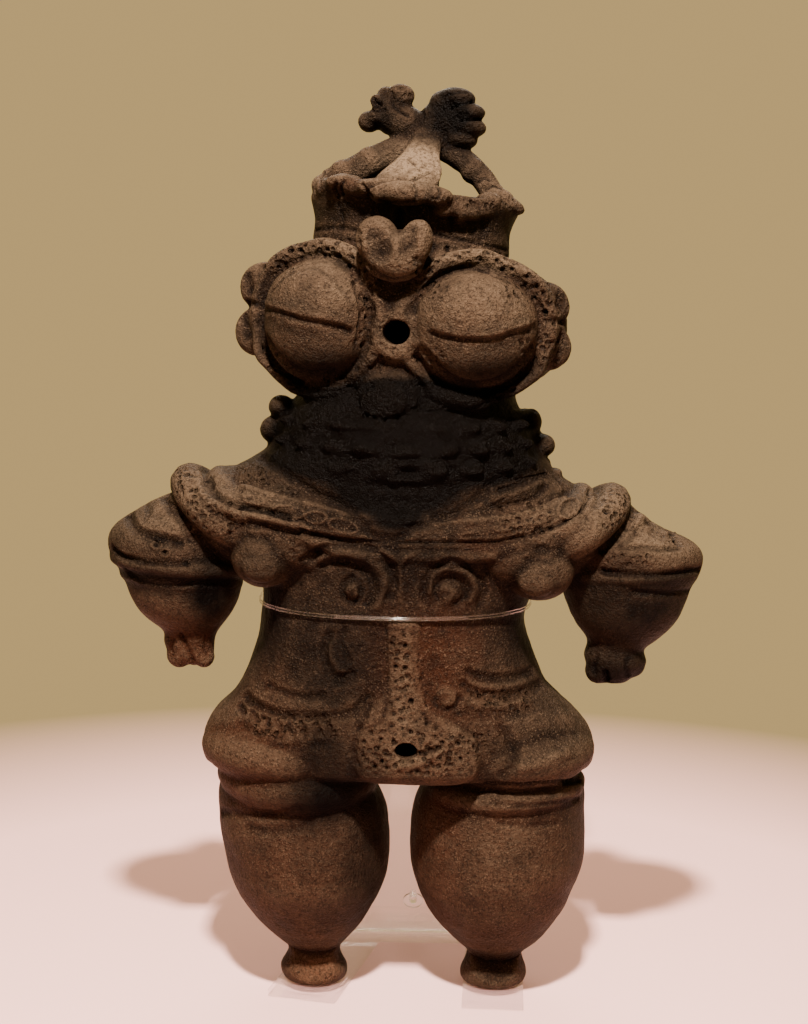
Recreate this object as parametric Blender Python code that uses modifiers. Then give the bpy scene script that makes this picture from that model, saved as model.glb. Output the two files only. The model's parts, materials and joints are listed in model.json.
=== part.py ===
"""A goggle-eyed fired-clay figure held on a clear acrylic stand.

Metres, +Z up, the figure faces -Y and +X is on its left hand (the viewer's right).
The origin is on the ground, under the middle of the whole outline.
"""

import math

import bmesh
import bpy
import numpy as np
from mathutils import Matrix, Vector
from mathutils.bvhtree import BVHTree
from mathutils.geometry import convex_hull_2d

# Driving sizes in metres
FIGURE_HEIGHT = 0.357
TOUCH_GAP = 0.0003
BASE_THICKNESS = 0.003
LEFT_TONGUE_WIDTH = 0.028
LEFT_TONGUE_REACH = 0.0182
RIGHT_TONGUE_WIDTH = 0.0245
RIGHT_TONGUE_REACH = 0.0236
BAR_WIDTH = 0.106
BAR_FRONT = 0.045
BAR_DEPTH = 0.026
STAND_MIDDLE = 0.004
UPRIGHT_WIDTH = 0.070
UPRIGHT_THICKNESS = 0.004
UPRIGHT_SETBACK = 0.004
UPRIGHT_ABOVE_LINE = 0.009
UPRIGHT_CORNER = 0.006
SCREW_FROM_MIDDLE = 0.003
SCREW_HEIGHT = 0.0183
SCREW_HEAD_WIDTH = 0.0088
SCREW_HEAD_TALL = 0.0064
SCREW_HEAD_THICKNESS = 0.0016
SCREW_SHANK_RADIUS = 0.0016
SCREW_END = 0.003
LINE_RADIUS = 0.0009
LINE_CLEARANCE = 0.0007
LINE_HOLE_SPACING = 0.050

# The tongues of the base point slightly outwards, in degrees
LEFT_TONGUE_TURN = -14.0
RIGHT_TONGUE_TURN = -3.6

# The clay form is set out in shares: 357 of them make the figure's height
SHARES_IN_HEIGHT = 357.0
SHARE = FIGURE_HEIGHT / SHARES_IN_HEIGHT
CLAY_VOXEL = 1.3
CLAY_TRIANGLES = 8600

# Where the head sits on the neck, how it is turned and tilted, in shares and degrees
HEAD_CENTRE = Vector((-1.0, 0.0, 266.0))
HEAD_YAW = -8.0
HEAD_TILT = 3.5

# The eyes in the head's own frame: middle of the dome, turn in degrees, half sizes and depth
EYES = {
    "left": {"spot": (-28.6, -30.0, -1.6), "turn": -13.0, "half": (19.2, 21.6), "dome": 20.0},
    "right": {"spot": (33.2, -30.0, -1.2), "turn": 13.0, "half": (21.8, 20.4), "dome": 20.0},
}

# Height of the waist line over the soles at the front and at the sides, how far the front
# is from the middle, and the waist's own middle, in shares
LINE_FRONT_HEIGHT = 154.1
LINE_SIDE_HEIGHT = 156.8
WAIST_FRONT = 36.0
WAIST_MIDDLE = (-3.0, -1.0)
LINE_STEPS = 72

# Where the soles stand, and how far left and right each foot is of the middle
SOLE_HEIGHT = BASE_THICKNESS + TOUCH_GAP
FOOT_SPOTS = (-33.3 * SHARE, 39.8 * SHARE)


def clear_scene():
    """Remove every object that the start-up file holds."""
    for old in list(bpy.data.objects):
        bpy.data.objects.remove(old, do_unlink=True)


def collection(name):
    """A new collection in the scene."""
    group = bpy.data.collections.new(name)
    bpy.context.scene.collection.children.link(group)
    return group


def material(name, colour, roughness, see_through=0.0):
    """A Principled material with plain values."""
    finish = bpy.data.materials.new(name)
    finish.use_nodes = True
    shader = finish.node_tree.nodes["Principled BSDF"]
    shader.inputs["Base Color"].default_value = (*colour, 1.0)
    shader.inputs["Roughness"].default_value = roughness
    shader.inputs["Transmission Weight"].default_value = see_through
    finish.diffuse_color = (*colour, 1.0)
    return finish


# Shapes in clay

def smooth_path(points, steps=4, closed=False):
    """Points on a smooth curve through the given rows of numbers."""
    rows = [np.array(row, dtype=float) for row in points]
    count = len(rows)
    spans = count if closed else count - 1
    curve = []
    for span in range(spans):
        if closed:
            before, start, end, after = (rows[(span + shift) % count] for shift in (-1, 0, 1, 2))
        else:
            start, end = rows[span], rows[span + 1]
            before = rows[span - 1] if span else 2 * start - end
            after = rows[span + 2] if span + 2 < count else 2 * end - start
        for step in range(steps):
            t = step / steps
            curve.append(0.5 * (
                2 * start
                + (end - before) * t
                + (2 * before - 5 * start + 4 * end - after) * t ** 2
                + (3 * start - before - 3 * end + after) * t ** 3
            ))
    if not closed:
        curve.append(rows[-1])
    return curve


def loft(clay, rows, square=2.2, sides=56, steps=3, place=Matrix.Identity(4)):
    """A closed skin through level sections, each given as height, left, right, front, back."""
    angles = [2 * math.pi * side / sides for side in range(sides)]
    unit = [
        (
            math.copysign(abs(math.cos(angle)) ** (2 / square), math.cos(angle)),
            math.copysign(abs(math.sin(angle)) ** (2 / square), math.sin(angle)),
        )
        for angle in angles
    ]
    rings = []
    for height, left, right, front, back in smooth_path(rows, steps):
        ring = []
        for across, along in unit:
            x = (left + right) / 2 + (right - left) / 2 * across
            y = (front + back) / 2 + (back - front) / 2 * along
            ring.append(clay.verts.new(place @ Vector((x, y, height))))
        rings.append(ring)
    for low, high in zip(rings, rings[1:]):
        for side in range(sides):
            after = (side + 1) % sides
            clay.faces.new((low[side], low[after], high[after], high[side]))
    clay.faces.new(list(reversed(rings[0])))
    clay.faces.new(rings[-1])


def round_lump():
    """A round lump of radius one, made once and copied for every ball."""
    known = bpy.data.meshes.get("round_lump")
    if known:
        return known
    sphere = bmesh.new()
    bmesh.ops.create_uvsphere(sphere, u_segments=28, v_segments=18, radius=1.0)
    lump = bpy.data.meshes.new("round_lump")
    sphere.to_mesh(lump)
    sphere.free()
    return lump


def ball(clay, centre, radii, turn=(0, 0, 0), place=Matrix.Identity(4)):
    """An egg-shaped lump, turned by angles in degrees about X, Y and Z."""
    spin = Matrix.Rotation(math.radians(turn[2]), 4, "Z")
    spin = spin @ Matrix.Rotation(math.radians(turn[1]), 4, "Y")
    spin = spin @ Matrix.Rotation(math.radians(turn[0]), 4, "X")
    seat = place @ Matrix.Translation(centre) @ spin @ Matrix.Diagonal((*radii, 1.0))
    lump = round_lump().copy()
    lump.transform(seat)
    clay.from_mesh(lump)
    bpy.data.meshes.remove(lump)


def roll(rolls, points, radius, place=Matrix.Identity(4), closed=False):
    """Keep a clay roll: a smooth run of points with its radius, thinned at open ends."""
    curve = smooth_path([(*point, radius) for point in points], 5, closed)
    thin = (0.45, 0.8)
    run = []
    for index, (x, y, z, wide) in enumerate(curve):
        from_end = min(index, len(curve) - 1 - index)
        if not closed and from_end < len(thin):
            wide *= thin[from_end]
        run.append((*(place @ Vector((x, y, z))), wide))
    rolls.append((run, closed))


def rolls_mesh(rolls):
    """All the clay rolls as one mesh, made from one bevelled curve with many runs."""
    data = bpy.data.curves.new("clay_rolls", "CURVE")
    data.dimensions = "3D"
    data.bevel_depth = 1.0
    data.bevel_resolution = 3
    data.use_fill_caps = True
    for run, closed in rolls:
        spline = data.splines.new("POLY")
        spline.points.add(len(run) - 1)
        for point, (x, y, z, wide) in zip(spline.points, run):
            point.co = (x, y, z, 1.0)
            point.radius = wide
        spline.use_cyclic_u = closed
    holder = bpy.data.objects.new("clay_rolls", data)
    bpy.context.scene.collection.objects.link(holder)
    bpy.context.view_layer.update()
    shape = bpy.data.meshes.new_from_object(holder.evaluated_get(bpy.context.evaluated_depsgraph_get()))
    bpy.data.objects.remove(holder, do_unlink=True)
    return shape


# The figure, in shares from the soles up

def head_place():
    """Where the head's own frame sits: turned about Z, tilted about Y."""
    yaw = Matrix.Rotation(math.radians(HEAD_YAW), 4, "Z")
    tilt = Matrix.Rotation(math.radians(HEAD_TILT), 4, "Y")
    return Matrix.Translation(HEAD_CENTRE) @ yaw @ tilt


def limb_rows(outline, depth_share, middle=0.0):
    """Section rows from rows of height, centre and half width."""
    return [
        (height, centre - half, centre + half, middle - half * depth_share, middle + half * depth_share)
        for height, centre, half in outline
    ]


def add_legs(clay):
    """Two swollen legs on short flared feet."""
    left = [
        (0, -33.2, 12.4), (2, -33.2, 13.4), (5, -33.7, 13.6), (8, -33.8, 11.8), (11.5, -33.6, 10.4),
        (14.5, -33.6, 11.4), (17.7, -34.0, 14.9), (24.3, -35.0, 21.0), (31, -35.8, 25.5),
        (37.6, -36.1, 29.4), (44.2, -36.2, 31.8), (51, -36.6, 32.9), (57.6, -37.2, 33.8),
        (64.2, -38.1, 34.2), (70.8, -38.7, 33.9), (77.5, -40.2, 32.8), (84, -41.5, 30.0), (92, -42, 24),
    ]
    right = [
        (0, 39.7, 12.4), (2, 39.7, 13.3), (5, 39.9, 13.2), (9, 40.0, 11.6), (12.8, 40.2, 11.2),
        (16.2, 40.5, 15.2), (19.7, 40.4, 19.0), (26.5, 39.6, 24.6), (33.3, 39.7, 28.8),
        (40, 39.5, 31.6), (46.8, 39.8, 34.0), (53.5, 40.1, 35.2), (60.2, 40.1, 35.4),
        (66.8, 40.2, 35.2), (73.5, 40.6, 34.5), (80, 41.7, 33.2), (86, 42.5, 30.5), (93, 43, 24),
    ]
    for outline in (left, right):
        loft(clay, limb_rows(outline, 0.95), square=2.05)


def add_body(clay, rolls):
    """Hips, waist, chest, shoulders and the thick neck."""
    rows = [
        (84, -64, 64, -24, 28), (87, -74, 72, -33, 35), (92, -78.6, 77, -38, 39), (98.7, -79.2, 78, -40, 41),
        (105, -78, 76.6, -40, 41), (111.7, -73.8, 71.6, -39, 39.5), (118.2, -67, 64.5, -37.5, 37.5),
        (124.7, -63.2, 58, -36.3, 36), (131.3, -60.5, 54.9, -35.4, 34.5), (140.7, -57.4, 51.2, -35, 33),
        (150.7, -56.2, 48.6, -35, 32), (160.7, -55.5, 51.5, -35.8, 32.6), (171.7, -57.5, 56, -36.8, 34.5),
        (180, -62, 60, -37.6, 36), (190, -70, 67, -37.5, 36.5), (197, -76, 72, -36.5, 36),
        (203, -75, 68, -35, 35), (208, -68, 60, -35, 34), (213, -59, 56.5, -36, 34),
        (218.5, -52.5, 52.5, -37.5, 35), (224.7, -52, 50, -38, 36), (231, -48.5, 46, -37, 36),
        (237.3, -42.5, 43, -34.5, 34), (241, -41, 43.5, -33.5, 33), (250, -42, 44, -33, 32),
    ]
    loft(clay, rows, square=2.35)
    # Hip lobes that hang over the legs
    ball(clay, (-46.5, -7, 96), (32.6, 36, 15.5), (0, 4, 0))
    ball(clay, (45.5, -7, 96.5), (32.4, 36, 16), (0, -4, 0))
    ball(clay, (-46, 12, 97), (32, 31, 15))
    ball(clay, (45, 12, 97), (32, 31, 15))
    # The raised centre band and the apron below it
    apron = [
        (153, -6, 6.5, -36.6, -26), (140, -6.5, 6.8, -36.8, -26), (126, -7, 8, -37.8, -26),
        (118, -14, 15, -39.6, -26), (109, -17, 29, -42.4, -26), (97, -17, 30, -43.4, -26),
        (89, -15, 27, -40, -22), (85, -9, 20, -34, -18),
    ]
    loft(clay, list(reversed(apron)), square=4.5, steps=2)
    # Breasts with low nipples
    ball(clay, (-53, -26, 176), (13.2, 13.5, 12))
    ball(clay, (-53.5, -38, 172.5), (5, 3.4, 4.4))
    ball(clay, (52, -26, 172.5), (13.4, 13.5, 12))
    ball(clay, (50.5, -38, 169), (5, 3.4, 4.4))
    # Chest lobes from the breasts up to the shoulders and into the armpits
    ball(clay, (-61, -13, 185), (16, 19, 13), (0, -25, 0))
    ball(clay, (58, -13, 181), (16, 19, 13), (0, 25, 0))
    ball(clay, (-63, -3, 181), (13, 17, 13))
    ball(clay, (61, -3, 179), (13, 17, 13))
    # The yoke roll that runs in a U over the chest
    yoke = [
        (-76, -22, 200), (-67, -29.5, 196.5), (-55, -34.5, 193), (-39, -37.5, 189.5), (-20, -38.3, 185.5),
        (-2, -38.4, 183.6), (16, -38.2, 183.5), (30, -37.6, 184.2), (44, -35.6, 186.2), (56, -32.2, 189.5),
        (66, -28, 194.5), (73, -21, 200),
    ]
    roll(rolls, yoke, 3.5)
    upper = [(x * 0.94, y - 0.2 + abs(x) * 0.02, z + 7.5 - abs(x) * 0.02) for x, y, z in yoke[1:-1]]
    roll(rolls, upper, 2.2)


def add_neck_rolls(clay, rolls):
    """The stacked rolls of the collar, drooping at the front, with knobs at the sides."""
    for height, half_width, front, back, droop, radius in (
        (231.5, 49.0, -38.2, 36.5, 2.5, 3.2),
        (224.8, 51.5, -39.6, 37.0, 3.0, 3.3),
        (217.6, 52.8, -39.4, 36.5, 5.0, 3.2),
        (211.0, 56.0, -38.6, 35.0, 6.0, 3.0),
        (206.5, 61.0, -37.8, 34.5, 10.0, 2.8),
    ):
        ring = []
        for turn in range(20):
            angle = 2 * math.pi * turn / 20
            reach = back if math.sin(angle) > 0 else -front
            sag = droop * max(0.0, -math.sin(angle)) ** 2
            ring.append((half_width * math.cos(angle), reach * math.sin(angle), height - sag))
        roll(rolls, ring, radius, closed=True)
    for centre, radii in (
        ((-48.5, -9, 232.5), (5.2, 7, 4.6)), ((-51.5, -6, 223.5), (5.6, 8, 5.4)),
        ((49, -6, 228), (4.6, 7, 5.4)), ((54.3, -5, 219), (4.6, 7, 4.4)),
    ):
        ball(clay, centre, radii)


def add_arms(clay, rolls):
    """Short arms: domed upper arm, double band, acorn-shaped forearm and stub fingers."""
    left = [
        (129.5, -82.5, 5.0), (132, -83.4, 8.2), (135, -84.2, 9.4), (139, -84.7, 10.0), (141.5, -84.3, 10.3),
        (143.7, -84.4, 11.6), (146.5, -85.2, 14.4), (150.6, -86.1, 18.2), (156.2, -86.6, 21.3),
        (162, -87.0, 22.9), (166, -87.6, 24.2), (171, -88.6, 25.6), (175.6, -89.8, 26.6),
        (181, -90.2, 26.2), (186, -88.6, 24.4), (191, -85.6, 19.8), (196, -80.5, 15.5), (200, -76, 9),
    ]
    right = [
        (125, 85.5, 6.5), (127.5, 85.3, 10.6), (132.6, 85.5, 12.0), (136, 84.9, 12.2), (138.8, 85.2, 11.6),
        (142.6, 87.7, 14.0), (147.6, 88.4, 18.6), (153.2, 88.6, 22.0), (159.4, 88.5, 24.2),
        (164.3, 88.6, 25.6), (168.2, 89.8, 26.9), (173, 90.6, 27.8), (178.6, 90.4, 27.5),
        (183.3, 88.9, 25.4), (187, 85.6, 22.4), (192.7, 81.5, 17.4), (197, 76, 12), (200, 72, 8),
    ]
    loft(clay, limb_rows(left, 0.9, -4), square=2.05)
    loft(clay, limb_rows(right, 0.9, -4), square=2.05)
    for centre_x, heights, tilt in ((-88.0, (170.5, 164.3), 2.0), (89.8, (170.2, 164.0), -1.5)):
        for height, reach, thick in zip(heights, (25.8, 23.6), (3.0, 2.4)):
            ring = []
            for turn in range(16):
                angle = 2 * math.pi * turn / 16
                lift = tilt * math.cos(angle)
                ring.append((centre_x + reach * math.cos(angle), -4 + 0.9 * reach * math.sin(angle), height - lift))
            roll(rolls, ring, thick, closed=True)
    # Shoulder lobes, a fat roll laid over each shoulder
    roll(rolls, [(-66, -29, 186), (-78, -25, 194), (-84.5, -9, 200.2), (-84, 8, 200), (-76, 22, 193)], 9.6)
    roll(rolls, [(64, -29, 183), (75, -25, 190.5), (81.5, -9, 195.2), (81, 8, 195), (73, 22, 189)], 9.3)
    # Stub fingers
    for x, y, z, wide, tall in (
        (-88.3, -6, 133.6, 5.2, 5.6), (-78.6, -6, 132.6, 4.3, 4.6), (-83.4, 2, 132, 4.6, 4.8),
        (90.3, -6, 130.2, 6.2, 6.4), (78.0, -6, 130, 5.0, 5.2), (84.5, 3, 129.5, 5.6, 5.6),
    ):
        ball(clay, (x, y, z), (wide, 5.2, tall))


def add_head(clay, rolls):
    """The wide head, its goggle eyes with rims, nose ring, mouth disc, ears and brow heart."""
    place = head_place()
    # Sections from the back of the head to the face, each as wide and tall as seen from the front
    skull = [
        (-37, -24, 28, -15, 15), (-34, -42, 46, -24.5, 24.5), (-27, -53, 57, -28.5, 29), (-17, -58, 62, -30, 30.6),
        (-4, -59.5, 63.5, -30.3, 30.8), (8, -58.5, 63, -30, 30.4), (18, -55, 60, -28.8, 29.6),
        (27, -47, 51, -26, 27), (33, -30, 34, -19, 20),
    ]
    facing = place @ Matrix.Rotation(math.radians(90), 4, "X")
    loft(clay, skull, square=2.6, place=facing)
    for side in EYES.values():
        wide, tall = side["half"]
        seat = place @ Matrix.Translation(side["spot"])
        seat = seat @ Matrix.Rotation(math.radians(side["turn"]), 4, "Z")
        ball(clay, (0, 2, 0), (wide, side["dome"], tall), place=seat)
        ball(clay, (0, 11, 0), (wide + 8.2, 15, tall + 8), place=seat)
        rim = []
        for turn in range(20):
            angle = 2 * math.pi * turn / 20
            rim.append(((wide + 5.4) * math.cos(angle), 0.8, (tall + 5.2) * math.sin(angle)))
        roll(rolls, rim, 3.7, place=seat, closed=True)
    # Nose ring, mouth disc and chin lobes
    ring = [(2.4 + 7.4 * math.cos(a), -37.5, -5.6 + 7.4 * math.sin(a)) for a in np.arange(12) * math.pi / 6]
    roll(rolls, ring, 3.6, place=place, closed=True)
    ball(clay, (2.4, -31, -7), (9.6, 8.5, 11), place=place)
    ball(clay, (2, -27, 9), (13, 10, 15), place=place)
    ball(clay, (0.8, -35, -28.2), (11.8, 8.0, 10.6), (-10, 0, 0), place=place)
    ball(clay, (24, -28, -27), (14, 7, 5.2), (0, 6, 0), place=place)
    ball(clay, (-20, -27, -26), (12, 7, 5), (0, -6, 0), place=place)
    # Brow heart: two lobes meeting in a point
    ball(clay, (-5.6, -40, 27.4), (8.4, 7.6, 9.2), (0, -20, 0), place=place)
    ball(clay, (6.9, -40, 26.9), (8.0, 7.6, 8.8), (0, 20, 0), place=place)
    ball(clay, (0.8, -40, 22.2), (9.8, 7.6, 8.0), place=place)
    ball(clay, (0.8, -33, 25), (11, 7, 9), place=place)
    # Ears, two bumps on each side
    for x, z, wide, tall in ((-59, 9.4, 6.6, 7.6), (-60, -7.6, 6.6, 8.4), (58.4, 9.4, 6.2, 7.6), (60, -4.8, 6.4, 6.8)):
        ball(clay, (x, -8, z), (wide, 8.5, tall), place=place)


def add_crown(clay, rolls):
    """The dished crown with its rim, the arms that rise from it and the knot they carry."""
    place = head_place()
    dish = [
        (22, -38, 38, -27, 29), (30, -38.6, 38.4, -28, 30), (37, -38.4, 38.2, -28, 30),
        (44, -39.4, 39.6, -29.5, 31), (50, -40.6, 41.4, -31, 32), (51.5, -38, 39, -28.5, 29.5),
        (50, -35, 36, -25.5, 27), (45, -32, 33, -22.5, 24), (42.5, -22, 23, -14, 16),
    ]
    loft(clay, dish, square=2.2, steps=2, place=place)
    # Lumps of the rim, from the left corner along the front to the right corner
    for centre, radii in (
        ((-36.6, -7, 50.6), (5.4, 7, 4.8)), ((-31, -18, 49.8), (5.2, 5, 4.4)), ((-23, -25.5, 49.4), (5.6, 4.6, 4.4)),
        ((-13.5, -30.5, 48.6), (6.0, 4.6, 4.6)), ((0, -33.5, 47.2), (9.6, 4.6, 4.6)),
        ((12.6, -31, 48.2), (5.4, 4.8, 4.4)), ((38.4, -4, 50.2), (6.2, 7, 4.8)), ((31.5, -14, 49), (6, 6, 4.2)),
    ):
        ball(clay, centre, radii, place=place)
    roll(rolls, [(14, -29, 44.5), (23, -25, 46), (32, -17, 47.5), (38, -6, 48.6)], 4.2, place=place)
    roll(rolls, [(-36, 10, 50), (-24, 25, 50), (0, 31, 49.5), (24, 26, 49.5), (37, 10, 49.5)], 4.0, place=place)
    # Arms to both sides, front ramp and back strut
    roll(rolls, [(-36, -3, 50.5), (-31, -2, 53.8), (-22, -1, 60.4), (-12, 0, 66.6), (0, 0, 71)], 4.2, place=place)
    roll(rolls, [(38, -2, 49.5), (32.5, -2, 54), (26.5, -1, 60.6), (19, 0, 66.2), (6, 0, 71.5)], 4.1, place=place)
    ramp = [
        (46.5, -11.5, 11.5, -35, -30), (50, -12.2, 12.6, -33.5, -27), (56, -9, 13, -27.5, -19.5),
        (62, -5, 11, -20.5, -11), (68, -3, 10, -12, -2), (72, -4, 9, -7, 4),
    ]
    loft(clay, ramp, square=2.4, sides=32, place=place)
    roll(rolls, [(0, 30, 49.5), (1, 24, 57), (2, 14, 64), (2, 4, 71)], 5.2, place=place)
    # The knot: a neck, a knobbed lobe on the left and a fist-like one on the right
    knobs = (
        ((2.4, 0, 71), (9.4, 8, 6.4)), ((-6.5, 0, 77), (8.2, 7.6, 7)), ((-11.5, 0, 80), (6.6, 7, 8)),
        ((-8.2, -1.5, 87), (5.6, 5, 4.6)), ((-14.4, 1, 86.8), (3.8, 4.4, 4)), ((-17.4, -3, 84.4), (2.7, 3, 2.7)),
        ((-20, -1, 76.6), (4.4, 4.4, 4.2)), ((-16, -2, 78.4), (5, 5, 3.4)), ((4.5, -1, 77.8), (5, 6, 7)),
        ((12, 1, 79), (9.6, 8, 9.4)), ((13.6, -1.5, 87), (7.6, 6.4, 4.4)), ((18.6, -2.5, 82), (6.8, 6.2, 3.5)),
        ((19.6, -2.5, 76.2), (6.6, 6.2, 3.5)), ((16.6, -1.5, 71.6), (6.4, 6, 3.6)),
    )
    for centre, radii in knobs:
        ball(clay, centre, radii, place=place)


def spiral(centre, inner, outer, turns, start, hand):
    """Front-view points of a spiral from its outer end inwards."""
    points = []
    for step in range(24):
        share = step / 23
        reach = outer + (inner - outer) * share
        angle = start + hand * turns * 2 * math.pi * share
        points.append((centre[0] + reach * math.cos(angle), centre[1] + reach * math.sin(angle)))
    return points


def body_marks():
    """Grooves (positive depth) and ridges (negative) seen from the front: points, half width, depth."""
    up = math.pi / 2
    return [
        (spiral((-17.6, 166), 3, 12, 1.3, up, 1), 2.2, -1.4),
        (spiral((16.9, 165.8), 3, 12, 1.3, up, -1), 2.2, -1.4),
        (smooth_path([(-58, 123), (-49, 117.6), (-36, 115.4), (-22, 118), (-13, 124)]), 2.4, 2.2),
        (smooth_path([(24.6, 131), (36, 128), (49, 131)]), 2.0, 1.5),
        (smooth_path([(21, 127), (35.7, 122.6), (54, 128.5)]), 2.2, 1.8),
        (smooth_path([(-70, 79), (-57, 77), (-44, 77.5), (-31, 74.5)]), 2.2, 1.8),
        (smooth_path([(-70, 74), (-58, 72), (-46, 72.5), (-34, 70.5)]), 2.0, 1.4),
        (smooth_path([(34, 91.5), (54, 89.8), (68, 87), (79, 83)]), 2.4, 2.6),
        (smooth_path([(36, 83), (54, 82), (74, 80)]), 2.0, 1.4),
        (smooth_path([(42, 75.5), (54, 74.5), (72, 75)]), 2.0, 1.4),
    ]


def face_marks():
    """The slits of the closed lids, in the head's own front view."""
    return [
        (smooth_path([(-48, -0.6), (-37, -3.2), (-26.2, -5), (-18, -6), (-10.5, -7.6)]), 1.9, 2.4),
        (smooth_path([(12.5, -3.4), (24, -5.4), (35.4, -5.9), (46, -3.6), (54.5, 0)]), 1.9, 2.4),
    ]


def distance_to(path, spots):
    """Least distance from each flat spot to a run of straight stretches."""
    least = np.full(len(spots), 1e9)
    for start, end in zip(path, path[1:]):
        start, end = np.array(start), np.array(end)
        along = end - start
        share = np.clip((spots - start) @ along / max(along @ along, 1e-9), 0, 1)
        least = np.minimum(least, np.linalg.norm(spots - start - share[:, None] * along, axis=1))
    return least


def carve(shape, marks, place, side=-1):
    """Press grooves into, or raise ridges from, the skin that faces the given side."""
    count = len(shape.vertices)
    spots = np.empty(count * 3)
    facing = np.empty(count * 3)
    shape.vertices.foreach_get("co", spots)
    shape.vertices.foreach_get("normal", facing)
    spots, facing = spots.reshape(-1, 3), facing.reshape(-1, 3)
    turn = np.array(place.to_3x3())
    local = (spots - np.array(place.translation)) @ turn
    outward = facing @ turn
    faces_side = np.clip(side * outward[:, 1] * 3, 0, 1)
    for path, half_width, depth in marks:
        near = np.clip(1 - distance_to(path, local[:, (0, 2)]) / half_width, 0, 1)
        spots -= facing * (depth * near * near * (3 - 2 * near) * faces_side)[:, None]
    shape.vertices.foreach_set("co", spots.ravel())
    shape.update()


def drill(name, centre, radii, depth, place, group):
    """An oval cutter that points into the figure from the front."""
    lie = Matrix.Rotation(math.radians(-90), 4, "X")
    seat = Matrix.Translation((0, 0, SOLE_HEIGHT)) @ Matrix.Scale(SHARE, 4) @ place
    cutter = rod(name, radii, depth, seat @ Matrix.Translation(centre) @ lie, group, 14)
    return hide(cutter)


def make_figure(group, cutters, finish):
    """The clay figure as one closed skin standing on the tongues of the base."""
    clay = bmesh.new()
    rolls = []
    add_legs(clay)
    for add in (add_body, add_neck_rolls, add_arms, add_head, add_crown):
        add(clay, rolls)
    clay.from_mesh(rolls_mesh(rolls))
    shape = bpy.data.meshes.new("dogu_figure")
    clay.to_mesh(shape)
    clay.free()
    figure = bpy.data.objects.new("dogu_figure", shape)
    group.objects.link(figure)
    fuse = figure.modifiers.new("fuse", "REMESH")
    fuse.mode = "VOXEL"
    fuse.voxel_size = CLAY_VOXEL
    soften = figure.modifiers.new("soften", "SMOOTH")
    soften.factor = 0.5
    soften.iterations = 2
    bpy.context.view_layer.update()
    fused = bpy.data.meshes.new_from_object(figure.evaluated_get(bpy.context.evaluated_depsgraph_get()))
    figure.modifiers.clear()
    carve(fused, body_marks(), Matrix.Identity(4))
    carve(fused, face_marks(), head_place())
    fused.transform(Matrix.Translation((0, 0, SOLE_HEIGHT)) @ Matrix.Scale(SHARE, 4))
    figure.data = fused
    figure.data.materials.append(finish)
    thin = figure.modifiers.new("thin", "DECIMATE")
    thin.ratio = CLAY_TRIANGLES / (2 * len(fused.polygons))
    holes = (
        drill("nose_hole", (2.4, -48, -4.6), (5.2, 4.7), 20, head_place(), cutters),
        drill("navel_hole", (2.3, -48, 104.6), (4.4, 3.3), 17, Matrix.Identity(4), cutters),
    )
    for cutter in holes:
        add_boolean(figure, cutter, "DIFFERENCE")
    return figure


# The stand, in metres

def plate(name, outline, thickness, group, finish, place=Matrix.Identity(4)):
    """A flat plate cut to an outline, laid on its lower face before it is placed."""
    data = bpy.data.curves.new(name, "CURVE")
    data.dimensions = "2D"
    data.fill_mode = "BOTH"
    data.extrude = thickness / 2
    spline = data.splines.new("POLY")
    spline.points.add(len(outline) - 1)
    for point, (x, y) in zip(spline.points, outline):
        point.co = (x, y, 0, 1)
    spline.use_cyclic_u = True
    flat = bpy.data.objects.new(name, data)
    bpy.context.scene.collection.objects.link(flat)
    bpy.context.view_layer.update()
    shape = bpy.data.meshes.new_from_object(flat.evaluated_get(bpy.context.evaluated_depsgraph_get()))
    bpy.data.objects.remove(flat, do_unlink=True)
    shape.transform(place @ Matrix.Translation((0, 0, thickness / 2)))
    sheet = bmesh.new()
    sheet.from_mesh(shape)
    bmesh.ops.remove_doubles(sheet, verts=sheet.verts, dist=0.00001)
    bmesh.ops.recalc_face_normals(sheet, faces=sheet.faces)
    sheet.to_mesh(shape)
    sheet.free()
    board = bpy.data.objects.new(name, shape)
    board.data.materials.append(finish)
    group.objects.link(board)
    return board


def rod(name, radii, length, place, group, sides=16):
    """A straight oval rod along Z from its lower end."""
    bpy.ops.mesh.primitive_cylinder_add(vertices=sides, radius=1.0, depth=1.0)
    bar = bpy.context.object
    bar.name = name
    bar.data.transform(place @ Matrix.Diagonal((*radii, length, 1)) @ Matrix.Translation((0, 0, 0.5)))
    for home in list(bar.users_collection):
        home.objects.unlink(bar)
    group.objects.link(bar)
    return bar


def hide(cutter):
    """Keep a cutter out of the model."""
    cutter.hide_render = True
    cutter.display_type = "WIRE"
    return cutter


def add_boolean(target, cutter, operation):
    """A live Boolean on the target."""
    change = target.modifiers.new(cutter.name, "BOOLEAN")
    change.operation = operation
    change.object = cutter


def tongue_corners(foot, width, reach, turn):
    """Back right, front right, front left and back left corners of a tongue under a foot."""
    across = Vector((math.cos(math.radians(turn)), math.sin(math.radians(turn))))
    back = Vector((-across.y, across.x))
    middle = Vector((foot, 0.0))
    corners = []
    for side in (1, -1):
        front = middle + across * side * width / 2 - back * reach
        behind = front + back * (BAR_FRONT - front.y) / back.y
        corners.append((front, behind))
    (front_right, back_right), (front_left, back_left) = corners
    return [tuple(back_right), tuple(front_right), tuple(front_left), tuple(back_left)]


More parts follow.
